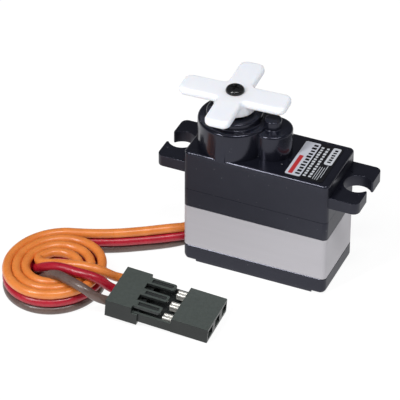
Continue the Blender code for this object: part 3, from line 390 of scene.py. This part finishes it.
FINISHES = {
    "black": moulded_black(),
    "aluminium": satin_aluminium(),
    "nylon": white_nylon(),
    "orange": insulation("orange_insulation", (0.7, 0.2, 0.036), (0.8, 0.255, 0.055)),
    "red": insulation("red_insulation", (0.36, 0.006, 0.02), (0.46, 0.01, 0.03)),
    "brown": insulation("brown_insulation", (0.105, 0.065, 0.055), (0.15, 0.1, 0.085)),
    "plug": plug_plastic(),
    "rubber": surface(
        "black_rubber", ((0.012, 0.012, 0.013), (0.02, 0.02, 0.021)), (0.6, 0.75), grain=8.0, depth=0.01
    ),
    "tin": surface(
        "bright_tin", ((0.72, 0.71, 0.66), (0.8, 0.79, 0.74)), (0.3, 0.42), 0.55, grain=12.0, depth=0.0004
    ),
    # Smoother finish for the faces inside the plug's well; its dark colour is painted shade there
    "latch": surface(
        "plug_well_shade", ((0.022, 0.025, 0.025), (0.03, 0.033, 0.033)), (0.24, 0.34), grain=9.0, depth=0.002
    ),
    "screw": surface(
        "black_oxide", ((0.006, 0.006, 0.007), (0.011, 0.011, 0.011)), (0.18, 0.3), 0.0, 1.5, depth=0.001
    ),
    "steel": surface(
        "turned_steel", ((0.5, 0.5, 0.52), (0.6, 0.6, 0.61)), (0.2, 0.32), 1.0, grain=10.0, depth=0.001
    ),
    "brass": surface(
        "cut_brass", ((0.62, 0.44, 0.18), (0.72, 0.54, 0.25)), (0.22, 0.34), 1.0, grain=10.0, depth=0.001
    ),
    "gear": surface("gear_nylon", ((0.66, 0.64, 0.55), (0.72, 0.7, 0.62)), (0.38, 0.5), depth=0.003),
    "magnet": surface(
        "sintered_ferrite", ((0.03, 0.03, 0.032), (0.05, 0.05, 0.05)), (0.55, 0.7), 0.3, depth=0.006
    ),
    "copper": surface(
        "copper_segments", ((0.6, 0.26, 0.14), (0.7, 0.34, 0.2)), (0.25, 0.38), 1.0, grain=10.0, depth=0.001
    ),
    "track": surface("phenolic_board", ((0.2, 0.1, 0.04), (0.26, 0.14, 0.06)), (0.5, 0.62), depth=0.004),
    "board": surface(
        "solder_mask", ((0.008, 0.1, 0.04), (0.015, 0.14, 0.06)), (0.35, 0.5), patch=1.2, depth=0.006
    ),
    "chip": surface("moulded_epoxy", ((0.012, 0.012, 0.013), (0.02, 0.02, 0.02)), (0.5, 0.62), depth=0.004),
    "resonator": surface("coated_ceramic", ((0.55, 0.4, 0.1), (0.62, 0.46, 0.13)), (0.3, 0.4), depth=0.003),
    "capacitor": surface(
        "capacitor_body", ((0.7, 0.38, 0.05), (0.78, 0.45, 0.08)), (0.35, 0.45), depth=0.003
    ),
    "foil": surface(
        "label_foil", ((0.006, 0.006, 0.008), (0.01, 0.01, 0.012)), (0.2, 0.3), ior=1.4, depth=0.001
    ),
    "silver_ink": surface(
        "silver_ink", ((0.56, 0.575, 0.645), (0.61, 0.625, 0.69)), (0.35, 0.45), 0.1, depth=0.001
    ),
    "red_ink": surface("red_ink", ((0.43, 0.024, 0.028), (0.5, 0.034, 0.038)), (0.35, 0.45), depth=0.001),
    "white_ink": surface("white_ink", ((0.52, 0.54, 0.58), (0.6, 0.615, 0.65)), (0.35, 0.45), depth=0.001),
}

# Which finish each CAD node that stays takes
KEPT_NODES = {
    "steel": (
        "output_shaft bearing_inner_race bearing_outer_race bearing_shield_lower bearing_shield_upper"
        " idler_shaft motor_can motor_screw_1 motor_screw_2 motor_armature motor_shaft"
        " potentiometer_housing potentiometer_shaft"
    ),
    "screw": "case_screw_1 case_screw_2 case_screw_3 case_screw_4",
    "brass": (
        "bearing_cage_with_balls lower_bush third_gear output_gear motor_pinion motor_terminal_1"
        " motor_terminal_2 potentiometer_wiper"
    ),
    "gear": "first_gear second_gear motor_end_cap",
    "magnet": "motor_magnet_1 motor_magnet_2",
    "copper": "motor_commutator",
    "track": "potentiometer_track",
    "board": "control_board",
    "chip": "controller_chip motor_driver_chip",
    "resonator": "resonator",
    "capacitor": "board_capacitor",
}


# Mesh helpers


def object_from(name, mesh_data, finish, location=(0, 0, 0)):
    """An object made from a bmesh, its faces turned outwards, with one finish."""
    bmesh.ops.remove_doubles(mesh_data, verts=mesh_data.verts, dist=1e-8)
    bmesh.ops.recalc_face_normals(mesh_data, faces=mesh_data.faces)
    mesh = bpy.data.meshes.new(name)
    mesh_data.to_mesh(mesh)
    mesh_data.free()
    mesh.materials.append(finish)
    made = bpy.data.objects.new(name, mesh)
    made.location = location
    bpy.context.scene.collection.objects.link(made)
    return made


def combine(target, tools, operation):
    for tool in tools:
        modifier = target.modifiers.new(tool.name, "BOOLEAN")
        modifier.operation = operation
        modifier.object = tool
        modifier.solver = "EXACT"


def join(target, *tools):
    combine(target, tools, "UNION")


def cut(target, *tools):
    combine(target, tools, "DIFFERENCE")


def soften(target, width, segments=3, angle=40):
    """Rounds the edges sharper than the angle, in degrees."""
    modifier = target.modifiers.new("soft_edges", "BEVEL")
    modifier.width = width
    modifier.segments = segments
    modifier.limit_method = "ANGLE"
    modifier.angle_limit = math.radians(angle)
    modifier.use_clamp_overlap = True


def baked(target):
    """Applies every modifier, removes the tools, and shades round sides smooth and flat faces flat."""
    tools = [m.object for m in target.modifiers if m.type == "BOOLEAN"]
    finish = target.data.materials[0]
    bpy.context.view_layer.update()
    evaluated = target.evaluated_get(bpy.context.evaluated_depsgraph_get())
    mesh = bpy.data.meshes.new_from_object(evaluated)
    target.modifiers.clear()
    target.data = mesh
    mesh.materials.clear()
    mesh.materials.append(finish)
    for polygon in mesh.polygons:
        polygon.material_index = 0
    for tool in tools:
        bpy.data.objects.remove(tool)
    mesh.shade_smooth()
    mesh.set_sharp_from_angle(angle=math.radians(SMOOTH_ANGLE))
    weighted = target.modifiers.new("even_shading", "WEIGHTED_NORMAL")
    weighted.keep_sharp = True
    return target


def tool(name, mesh_data, location=(0, 0, 0)):
    """A solid to join or cut with. Its finish doesn't show."""
    return object_from(name, mesh_data, FINISHES["steel"], location)


def arc(centre, radius, start, end, steps):
    """Points on an arc, its angles in degrees."""
    angles = [math.radians(start + (end - start) * i / steps) for i in range(steps + 1)]
    return [(centre[0] + radius * math.cos(a), centre[1] + radius * math.sin(a)) for a in angles]


def rounded_rectangle(half_x, half_y, radius, steps=6):
    points = []
    for quarter, (sx, sy) in enumerate(((1, 1), (-1, 1), (-1, -1), (1, -1))):
        centre = (sx * (half_x - radius), sy * (half_y - radius))
        points += arc(centre, radius, 90 * quarter, 90 * quarter + 90, steps)
    return points


def stacked(loops):
    """A closed solid through loops of equal length, each (outline, height), with flat ends."""
    made = bmesh.new()
    rings = [[made.verts.new((x, y, z)) for x, y in outline] for outline, z in loops]
    made.faces.new(rings[0])
    made.faces.new(rings[-1])
    for lower, upper in zip(rings, rings[1:]):
        for i in range(len(lower)):
            j = (i + 1) % len(lower)
            made.faces.new((lower[i], lower[j], upper[j], upper[i]))
    return made


def prism(outline, low, high):
    return stacked([(outline, low), (outline, high)])


def box(low, high):
    (x0, y0, z0), (x1, y1, z1) = low, high
    return prism([(x0, y0), (x1, y0), (x1, y1), (x0, y1)], z0, z1)


def turned(profile, steps=96, phase=0.0):
    """A solid turned about the object's Z axis from a closed profile of (radius, height)."""
    made = bmesh.new()
    rings = []
    for radius, height in profile:
        if radius == 0:
            rings.append([made.verts.new((0, 0, height))] * steps)
        else:
            circle = arc((0, 0), radius, phase, phase + 360, steps)[:-1]
            rings.append([made.verts.new((x, y, height)) for x, y in circle])
    for first, second in zip(rings, rings[1:] + rings[:1]):
        for i in range(steps):
            j = (i + 1) % steps
            corners = list(dict.fromkeys((first[i], first[j], second[j], second[i])))
            if len(corners) > 2:
                made.faces.new(corners)
    return made


def rim(radius, height, size, steps=5):
    """Profile points of a rounded outer edge that starts on the side and ends on top."""
    return arc((radius - size, height - size), size, 0, 90, steps)


def cylinder(radius, low, high, centre, steps):
    return prism(arc(centre, radius, 3, 363, steps)[:-1], low, high)


# Case


def case_outline(inset=0.0, end_inset=0.0):
    """The case from above, drawn in by the inset all round and by the end inset at both ends."""
    radius = max(CORNER_RADIUS - inset, 0.2 * MM)
    return rounded_rectangle(HALF_LENGTH - inset - end_inset, HALF_WIDTH - inset, radius)


def cavity_outline():
    """The inside of the case walls, with solid corners for the case screws."""
    x, y, f = HALF_LENGTH - WALL, HALF_WIDTH - WALL, CORNER_FILL
    right = [(x, f - y), (x, y - f), (x - f, y), (f - x, y)]
    left = [(-x, y - f), (-x, f - y), (f - x, -y), (x - f, -y)]
    return right + left


def corner_tools(name, radius, low, high, steps=24):
    """One upright cylinder at each case screw."""
    corners = [(x, y) for x in (-SCREW_X, SCREW_X) for y in (-SCREW_Y, SCREW_Y)]
    return [tool(f"{name}_{i}", cylinder(radius, low, high, c, steps)) for i, c in enumerate(corners)]


def lug_outline(side):
    """One lug seen from above, a C open to its end."""
    root, half, corner = 9.9 * MM, 4.5 * MM, 0.9 * MM
    slot, lip = 1.07 * MM, 0.2 * MM
    meet = math.degrees(math.asin(slot / LUG_HOLE_RADIUS))
    points = [(root, -half)]
    points += arc((LUG_REACH - corner, corner - half), corner, -90, 0, 8)
    points += arc((LUG_REACH - lip, -slot - lip), lip, 0, 90, 3)
    points += arc((LUG_HOLE_X, 0), LUG_HOLE_RADIUS, -meet, meet - 360, 48)
    points += arc((LUG_REACH - lip, slot + lip), lip, -90, 0, 3)
    points += arc((LUG_REACH - corner, half - corner), corner, 0, 90, 8)
    points += [(root, half)]
    return [(side * x, y) for x, y in points]


def rounded_block(low, high, edge):
    """The case's outline from low to high, its top edge rounded."""
    loops = [(case_outline(), low)]
    for step in range(6):
        angle = math.radians(18 * step)
        loops.append((case_outline(edge * (1 - math.cos(angle))), high - edge + edge * math.sin(angle)))
    return stacked(loops)


def tower_profiles():
    """Half sections of the output tower with its collar and of the idler tower with its button."""
    inside = CASE_TOP - 2 * MM
    foot = 3.95 * MM
    tower = [(0, inside), (TOWER_RADIUS, inside), *rim(TOWER_RADIUS, TOWER_TOP, 0.4 * MM)]
    tower += [(foot, TOWER_TOP), *arc((foot, 21.95 * MM), 0.2 * MM, 270, 180, 4)]
    tower += [*rim(COLLAR_RADIUS, COLLAR_TOP, 0.32 * MM), (0, COLLAR_TOP)]
    foot = 1.3 * MM
    idler = [(0, inside), (IDLER_RADIUS, inside), *rim(IDLER_RADIUS, IDLER_TOP, 0.36 * MM)]
    idler += [(foot, IDLER_TOP), *arc((foot, 21.54 * MM), 0.14 * MM, 270, 180, 3)]
    idler += [*rim(BUTTON_RADIUS, BUTTON_TOP, 0.2 * MM), (0, BUTTON_TOP)]
    return tower, idler


def make_upper_case():
    """Gearbox cap with its lugs, two towers, collar and button, hollow as in the CAD."""
    block = rounded_block(BASE_TOP + SEAM_GAP, CASE_TOP, 0.36 * MM)
    case = object_from("gearbox_cap", block, FINISHES["black"])
    tower, idler = tower_profiles()
    output_tower = tool("output_tower", turned(tower, 120), (OUTPUT_X, 0, 0))
    idler_tower = tool("idler_tower", turned(idler, 72, 1.5), (IDLER_X, 0, 0))
    lugs = [tool(f"lug_{side}", prism(lug_outline(side), LUG_BOTTOM, LUG_TOP)) for side in (-1, 1)]
    for lug in lugs:
        soften(lug, 0.28 * MM, 4, 50)
    join(case, output_tower, idler_tower, *lugs)
    below = BASE_TOP - 1 * MM
    output_room = [(0, below), (4.18 * MM, below), (4.18 * MM, 19.2 * MM), (3.53 * MM, 19.2 * MM)]
    output_room += [(3.53 * MM, 21.55 * MM), (2.35 * MM, 21.55 * MM), (2.35 * MM, 24 * MM), (0, 24 * MM)]
    idler_room = [(0, below), (2.15 * MM, below), (2.15 * MM, 20.7 * MM), (0.53 * MM, 20.7 * MM)]
    idler_room += [(0.53 * MM, 22.2 * MM), (0, 22.2 * MM)]
    cut(
        case,
        tool("gear_chamber", prism(cavity_outline(), below, CASE_TOP - 0.7 * MM)),
        tool("output_room", turned(output_room, 72, 2.1), (OUTPUT_X, 0, 0)),
        tool("idler_room", turned(idler_room, 48, 2.9), (IDLER_X, 0, 0)),
        *corner_tools("cap_hole", SCREW_HOLE_RADIUS, below, 15.5 * MM),
    )
    for side in (-1, 1):
        for y in (-2.1 * MM, 2.1 * MM):
            dimple = tool("lug_dimple", cylinder(0.28 * MM, 15.6 * MM, 16 * MM, (side * 10.75 * MM, y), 20))
            cut(case, dimple)
    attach(baked(case), "case")
    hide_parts("upper_case")


def make_gear_base():
    """Frame under the gearbox, with the holes that its deck has in the CAD."""
    low, high = BAND_TOP + SEAM_GAP, BASE_TOP
    base = object_from("gearbox_base", prism(case_outline(), low, high), FINISHES["black"])
    holes = [(1.5 * MM, MOTOR_X, 0, low), (1.63 * MM, OUTPUT_X, 0, low), (0.52 * MM, IDLER_X, 0, 11 * MM)]
    holes += [(0.43 * MM, MOTOR_X, y, low) for y in (-2.5 * MM, 2.5 * MM)]
    tools = [
        tool(f"deck_hole_{i}", cylinder(radius, bottom - 0.1 * MM, high + 1 * MM, (x, y), 32))
        for i, (radius, x, y, bottom) in enumerate(holes)
    ]
    under = tool("under_deck", prism(cavity_outline(), low - 1 * MM, DECK_BOTTOM))
    soften(base, 0.06 * MM, 2)
    cut(base, under, *tools)
    cut(base, *corner_tools("base_hole", SCREW_HOLE_RADIUS, low - 1 * MM, high + 1 * MM))
    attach(baked(base), "case")
    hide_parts("gear_base")


def wire_notch(name, low, high):
    """The slot in the end wall that the grommet sits in."""
    return tool(name, box((-11.2 * MM, GRIP_Y - 0.85 * MM, low), (-8.9 * MM, GRIP_Y + 0.85 * MM, high)))


def make_heat_sink_case():
    """Bare metal band round the motor, notched for the grommet."""
    low, high = COVER_TOP + SEAM_GAP, BAND_TOP
    ring = object_from("metal_band", prism(case_outline(), low, high), FINISHES["aluminium"])
    soften(ring, 0.05 * MM, 2)
    cut(
        ring,
        tool("motor_room", prism(cavity_outline(), low - 1 * MM, high + 1 * MM)),
        wire_notch("band_notch", low - 1 * MM, 4 * MM),
        *corner_tools("band_hole", SCREW_HOLE_RADIUS, low - 1 * MM, high + 1 * MM),
    )
    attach(baked(ring), "case")
    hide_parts("heat_sink_case")


def make_bottom_cover():
    """Cup with its ends rounded underneath and a stepped screw recess at each corner."""
    loops = []
    for step in range(8):
        angle = math.radians(90 * step / 7)
        end_inset = COVER_END_RADIUS * (1 - math.sin(angle))
        side_inset = 0.12 * MM * (1 - math.sin(angle))
        loops.append((case_outline(side_inset, end_inset), COVER_END_RADIUS * (1 - math.cos(angle))))
    loops.append((case_outline(), COVER_TOP - 0.05 * MM))
    loops.append((case_outline(0.05 * MM), COVER_TOP))
    cover = object_from("bottom_cap", stacked(loops), FINISHES["black"])
    cut(
        cover,
        tool("board_room", prism(cavity_outline(), COVER_FLOOR, COVER_TOP + 1 * MM)),
        wire_notch("cap_notch", 0.35 * MM, COVER_TOP + 1 * MM),
        *corner_tools("cover_hole", SCREW_HOLE_RADIUS, -1 * MM, COVER_TOP + 1 * MM),
        *corner_tools("screw_recess", RECESS_RADIUS, -1 * MM, RECESS_TOP, 40),
        *corner_tools("corner_step", CORNER_STEP_RADIUS, -1 * MM, CORNER_STEP_TOP, 48),
    )
    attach(baked(cover), "case")
    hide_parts("bottom_cover")


def make_grommet():
    """Rubber block in the notch round the wires, its edges softly rounded."""
    low, high = 0.38 * MM, 3.97 * MM
    side = 0.82 * MM
    block = box((-10.5 * MM, GRIP_Y - side, low), (-8.95 * MM, GRIP_Y + side, high))
    grommet = object_from("wire_grommet", block, FINISHES["rubber"])
    soften(grommet, 0.15 * MM, 4)
    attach(baked(grommet), "case")
    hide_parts("cable_grommet")


# Label on the roof: plain bars and blocks, with no lettering


def printed(name, outlines, finish, low, high):
    """One thin printed layer made of separate shapes."""
    layer = bmesh.new()
    for outline in outlines:
        lower = [layer.verts.new((x, y, low)) for x, y in outline]
        upper = [layer.verts.new((x, y, high)) for x, y in outline]
        layer.faces.new(lower)
        layer.faces.new(upper)
        for i in range(len(outline)):
            j = (i + 1) % len(outline)
            layer.faces.new((lower[i], lower[j], upper[j], upper[i]))
    made = object_from(name, layer, FINISHES[finish])
    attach(made, "case")
    return made


def shifted(outline, x, y):
    return [(px + x, py + y) for px, py in outline]


def bar(x0, x1, y0, y1, radius):
    """A rounded bar between two corners, in mm."""
    outline = rounded_rectangle((x1 - x0) / 2 * MM, (y1 - y0) / 2 * MM, radius * MM, 3)
    return shifted(outline, (x0 + x1) / 2 * MM, (y0 + y1) / 2 * MM)


def tick_row(x0, x1, y0, y1, count):
    """Short marks in a row along Y, their widths in a plain repeating rhythm."""
    most_inset = 0.15 * (x1 - x0)
    pitch = (y1 - y0) / count
    marks = []
    for i in range(count):
        share = 0.55 + 0.15 * (i * 3 % 4) / 3
        middle = y0 + pitch * (i + 0.5)
        inset = most_inset * (i % 3) / 2
        marks.append(bar(x0 + inset, x1, middle - pitch * share / 2, middle + pitch * share / 2, 0.02))
    return marks


def make_label():
    """Dark foil with a silver panel, a red bar and plain marks, each layer a little above the last."""
    low = CASE_TOP + 0.03 * MM
    base, ink = low + 0.05 * MM, low + 0.08 * MM
    sheet = printed("label_sheet", [bar(3.65, 9.05, -4.25, 3.9, 0.3)], "foil", low, base)
    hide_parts("rating_label")
    printed("label_panel", [bar(3.78, 5.9, -4.12, 3.72, 0.25)], "silver_ink", base, ink - 0.01 * MM)
    printed("label_bar", [bar(4.14, 4.72, -3.85, 0.4, 0.1)], "red_ink", ink - 0.01 * MM, ink)
    printed("label_dark_blocks", tick_row(5.05, 5.7, -3.85, 3.45, 11), "foil", ink - 0.01 * MM, ink)
    white = tick_row(6.15, 6.55, -3.85, 3.3, 13) + tick_row(6.9, 7.28, -3.85, 3.3, 12)
    white += [bar(x, x + 0.07, -3.95, -1.0, 0.02) for x in (7.55, 7.85, 8.15)]
    white += [bar(8.45, 8.52, -3.3, -0.5, 0.02), bar(7.7, 8.8, -0.3, 3.65, 0.25)]
    printed("label_white_marks", white, "white_ink", base, ink - 0.01 * MM)
    printed("label_box_blocks", tick_row(8.0, 8.5, 0.05, 3.3, 6), "foil", ink - 0.01 * MM, ink)


# Horn and its screw


def horn_outline():
    """Four arms with rounded tips and small fillets between them."""
    tip, fillet = 1.05 * MM, 0.6 * MM
    points = []
    for turn in range(4):
        half, other = (1.75 * MM, 1.9 * MM) if turn % 2 else (1.9 * MM, 1.75 * MM)
        arm = arc((HORN_REACH - tip, tip - half), tip, -90, 0, 8)
        arm += arc((HORN_REACH - tip, half - tip), tip, 0, 90, 8)
        arm += arc((other + fillet, half + fillet), fillet, -90, -180, 6)
        angle = math.radians(90 * turn + HORN_TURN)
        cos, sin = math.cos(angle), math.sin(angle)
        points += [(x * cos - y * sin, x * sin + y * cos) for x, y in arm]
    return points


def make_horn():
    """Cross with soft edges on a short hub, bored for the shaft and the screw."""
    place = (OUTPUT_X, 0, 0)
    arms = prism(horn_outline(), HORN_BOTTOM, HORN_TOP)
    horn = object_from("four_arm_horn", arms, FINISHES["nylon"], place)
    soften(horn, 0.44 * MM, 5, 50)
    hub = [(0, HUB_BOTTOM), (2.6 * MM, HUB_BOTTOM), *arc((2.6 * MM, 23.28 * MM), 0.18 * MM, -90, 0, 4)]
    hub += [(HUB_RADIUS, 25.0 * MM), (0, 25.0 * MM)]
    bore = [(0, 22 * MM), (BORE_RADIUS, 22 * MM), (BORE_RADIUS, 24.95 * MM), (0.7 * MM, 24.95 * MM)]
    bore += [(0.7 * MM, 27 * MM), (0, 27 * MM)]
    join(horn, tool("horn_hub", turned(hub, 72, 1.3), place))
    cut(horn, tool("horn_bore", turned(bore, 48, 2.2), place))
    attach(baked(horn), "output")
    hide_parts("horn")


def make_horn_screw():
    """Pan head screw with a cross recess and a plain ridged thread."""
    seat, crown = 25.53 * MM, 26.15 * MM
    profile = [(0, 20.3 * MM), (0.45 * MM, 20.6 * MM)]
    for thread in range(12):
        bottom = 20.8 * MM + 0.36 * MM * thread
        profile += [(0.5 * MM, bottom), (0.6 * MM, bottom + 0.18 * MM)]
    profile += [(0.55 * MM, seat), (1.15 * MM, seat)]
    profile += arc((1.15 * MM, seat + 0.1 * MM), 0.1 * MM, -90, 0, 3)
    profile += [*arc((0.75 * MM, seat + 0.12 * MM), 0.5 * MM, 0, 90, 8), (0, crown)]
    screw = object_from("pan_head_screw", turned(profile, 48), FINISHES["screw"], (OUTPUT_X, 0, 0))
    for name, half_x, half_y in (("long", 0.62 * MM, 0.13 * MM), ("cross", 0.13 * MM, 0.62 * MM)):
        low, high = (-half_x, -half_y, crown - 0.42 * MM), (half_x, half_y, crown + 1 * MM)
        cut(screw, tool(f"recess_{name}", box(low, high), (OUTPUT_X, 0, 0)))
    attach(baked(screw), "output")
    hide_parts("horn_screw")


# Lead, coil and tails


def coil_point(turn, height):
    """A point of the oval spiral, in mm, after so many turns from +X."""
    angle = 2 * math.pi * turn
    x = (COIL_SEMI[0] - COIL_STEP[0] * turn) * math.cos(angle)
    y = (COIL_SEMI[1] - COIL_STEP[1] * turn) * math.sin(angle)
    cos, sin = math.cos(COIL_TILT), math.sin(COIL_TILT)
    centre_x = COIL_CENTRE[0] + COIL_DRIFT[0] * turn
    centre_y = COIL_CENTRE[1] + COIL_DRIFT[1] * turn
    return (centre_x + x * cos - y * sin, centre_y + x * sin + y * cos, height)


def smooth(points, spacing):
    """Points about that far apart, in mm, on a curve through the given ones."""
    route = [Vector(p) for p in points]
    route = [2 * route[0] - route[1], *route, 2 * route[-1] - route[-2]]
    found = []
    for a, b, c, d in zip(route, route[1:], route[2:], route[3:]):
        steps = max(1, round((c - b).length / spacing))
        for i in range(steps):
            t = i / steps
            line = 2 * b + (c - a) * t
            bend = (2 * a - 5 * b + 4 * c - d) * t**2 + (3 * b - a - 3 * c + d) * t**3
            found.append((line + bend) / 2)
    return found + [route[-2]]


def make_wire(name, lead, tail, height, finish, nodes, end_pieces):
    """One insulated wire from the grommet, three turns round the coil, and over it into the plug."""
    steps = int((COIL_END - COIL_START) * COIL_STEPS_PER_TURN)
    turns = [coil_point(COIL_START + i / COIL_STEPS_PER_TURN, height) for i in range(steps + 1)]
    route = [p * MM for p in smooth(lead + turns + tail, ROUTE_SPACING)]
    curve = bpy.data.curves.new(name, "CURVE")
    curve.dimensions = "3D"
    curve.bevel_depth = WIRE_DIAMETER / 2
    curve.bevel_resolution = 5
    curve.use_fill_caps = True
    spline = curve.splines.new("POLY")
    spline.points.add(len(route) - 1)
    for point, place in zip(spline.points, route):
        point.co = (*place, 1)
    curve.materials.append(FINISHES[finish])
    wire = bpy.data.objects.new(name, curve)
    bpy.context.scene.collection.objects.link(wire)
    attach(wire, "case")
    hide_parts(*nodes)


# Plug


def from_plug_frame():
    """The matrix from the plug's own frame to the world."""
    turn = Matrix.Rotation(PLUG_YAW, 4, "Z") @ Matrix.Rotation(PLUG_PITCH, 4, "Y")
    return Matrix.Translation(PLUG_PLACE) @ turn


def in_plug_frame(made):
    """Moves a mesh made in the plug's frame to its place."""
    made.data.transform(from_plug_frame())
    return made


def plug_box(name, u, v, w, edge=0.0):
    """A box in the plug's own frame, in mm, its edges rounded if an edge is given."""
    made = tool(name, box((u[0] * MM, v[0] * MM, w[0] * MM), (u[1] * MM, v[1] * MM, w[1] * MM)))
    if edge:
        soften(made, edge * MM, 2)
    return in_plug_frame(made)


def finger_outline(v, half, start, end, radius):
    """A bar along the plug with a rounded front end."""
    points = [(start * MM, (v - half) * MM)]
    points += arc(((end - radius) * MM, (v - half + radius) * MM), radius * MM, -90, 0, 6)
    points += arc(((end - radius) * MM, (v + half - radius) * MM), radius * MM, 0, 90, 6)
    return points + [(start * MM, (v + half) * MM)]


def shade_and_polish_well(mesh):
    """Gives the faces inside the well, round the latch fingers, a smoother finish whose dark flat colour is
    painted shade on the well floor and the groove floors.
    """
    mesh.materials.append(FINISHES["latch"])
    to_plug = from_plug_frame().inverted()
    for polygon in mesh.polygons:
        u, v, w = to_plug @ polygon.center
        in_well = 3.7 * MM < u < 9.05 * MM and abs(v) < 3.25 * MM and w < -0.1 * MM
        polygon.material_index = int(in_well)


def make_plug():
    """Three-way plug: a thick rear block, latch fingers over an open well, and a socket block."""
    side_view = [(0, -2.6), (4.5, -2.6), (4.5, -0.95), (3.65, -0.95), (3.65, 0), (0, 0)]
    rear = bmesh.new()
    ends = [[rear.verts.new((u * MM, v * MM, w * MM)) for u, w in side_view] for v in (-3.85, 3.85)]
    for end in ends:
        rear.faces.new(end)
    for i in range(len(side_view)):
        j = (i + 1) % len(side_view)
        rear.faces.new((ends[0][i], ends[0][j], ends[1][j], ends[1][i]))
    housing = in_plug_frame(object_from("three_way_plug", rear, FINISHES["plug"]))
    soften(housing, 0.07 * MM, 2)
    pieces = [
        plug_box("well_floor", (3.35, 9.4), (-3.45, 3.4), (-2.18, -1.9)),
        plug_box("near_rail", (3.35, 9.4), (-3.58, -3.2), (-2.19, -0.85), 0.06),
        plug_box("far_rail", (3.35, 9.4), (3.15, 3.52), (-2.19, -0.85), 0.06),
        plug_box("front", (9.1, 14.25), (-3.6, 3.55), (-2.21, -0.01), 0.07),
    ]
    for i in (-1, 0, 1):
        v = PIN_PITCH * i
        finger_shape = prism(finger_outline(v, 0.7, 3.3, 7.4, 0.35), -0.42 * MM, -0.02 * MM)
        finger = in_plug_frame(tool(f"finger_{i}", finger_shape))
        soften(finger, 0.08 * MM, 2)
        pieces.append(finger)
    join(housing, *pieces)
    for i in (-1, 0, 1):
        v = PIN_PITCH * i
        groove_shape = prism(finger_outline(v, 0.32, 4.1, 7.05, 0.2), -0.22 * MM, 0.1 * MM)
        groove = in_plug_frame(tool(f"groove_{i}", groove_shape))
        cut(housing, groove, plug_box(f"socket_{i}", (8.7, 15.5), (v - 0.8, v + 0.8), (-1.75, -0.45)))
        cut(housing, plug_box(f"wire_hole_{i}", (-0.5, 1.5), (v - 0.7, v + 0.7), (-1.8, -0.4)))
    baked(housing)
    # Painted shade on the well floor and in the finger grooves
    shade_and_polish_well(housing.data)
    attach(housing, "case")
    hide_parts("plug_housing")
    return housing


def make_contact(number, i):
    """Folded socket contact: two bright strips with a slot between them, open to the front."""
    v = PIN_PITCH * i
    low, high = (9.0 * MM, (v - 0.55) * MM, -1.45 * MM), (13.2 * MM, (v + 0.55) * MM, -0.55 * MM)
    contact = in_plug_frame(object_from(f"socket_contact_{number}", box(low, high), FINISHES["tin"]))
    soften(contact, 0.1 * MM, 2)
    wings = []
    for middle in (v - 0.3, v + 0.3):
        wing = plug_box(f"wing_{middle:.2f}", (7.62, 9.2), (middle - 0.24, middle + 0.24), (-1.1, -0.57))
        soften(wing, 0.2 * MM, 4)
        wings.append(wing)
    join(contact, *wings, plug_box(f"crimp_base_{i}", (7.7, 9.1), (v - 0.5, v + 0.5), (-1.43, -0.95)))
    cut(contact, plug_box(f"mouth_{i}", (9.4, 14), (v - 0.33, v + 0.33), (-1.28, -0.72)))
    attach(baked(contact), "case")
    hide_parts(f"plug_contact_{number}")
    return contact


def finish_kept_nodes():
    """Gives each CAD node that stays its finish."""
    for finish, names in KEPT_NODES.items():
        for name in names.split():
            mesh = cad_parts[name].data
            mesh.materials.clear()
            mesh.materials.append(FINISHES[finish])


def main():
    add_camera()
    add_light_and_floor()
    plug = make_plug()
    contacts = [make_contact(number, i) for number, i in enumerate((-1, 0, 1), 1)]
    signal = ["lead_signal", "tail_signal", "cable_coil"]
    power = ["lead_power", "tail_power"]
    ground = ["lead_ground", "tail_ground"]
    wires = (
        ("signal_wire", LEAD_SIGNAL, TAIL_SIGNAL, SIGNAL_HEIGHT, "orange", signal, [plug, contacts[2]]),
        ("power_wire", LEAD_POWER, TAIL_POWER, POWER_HEIGHT, "red", power, [contacts[1]]),
        ("ground_wire", LEAD_GROUND, TAIL_GROUND, GROUND_HEIGHT, "brown", ground, [contacts[0]]),
    )
    for wire in wires:
        make_wire(*wire)
    make_upper_case()
    make_gear_base()
    make_heat_sink_case()
    make_bottom_cover()
    make_grommet()
    make_label()
    make_horn()
    make_horn_screw()
    finish_kept_nodes()


main()
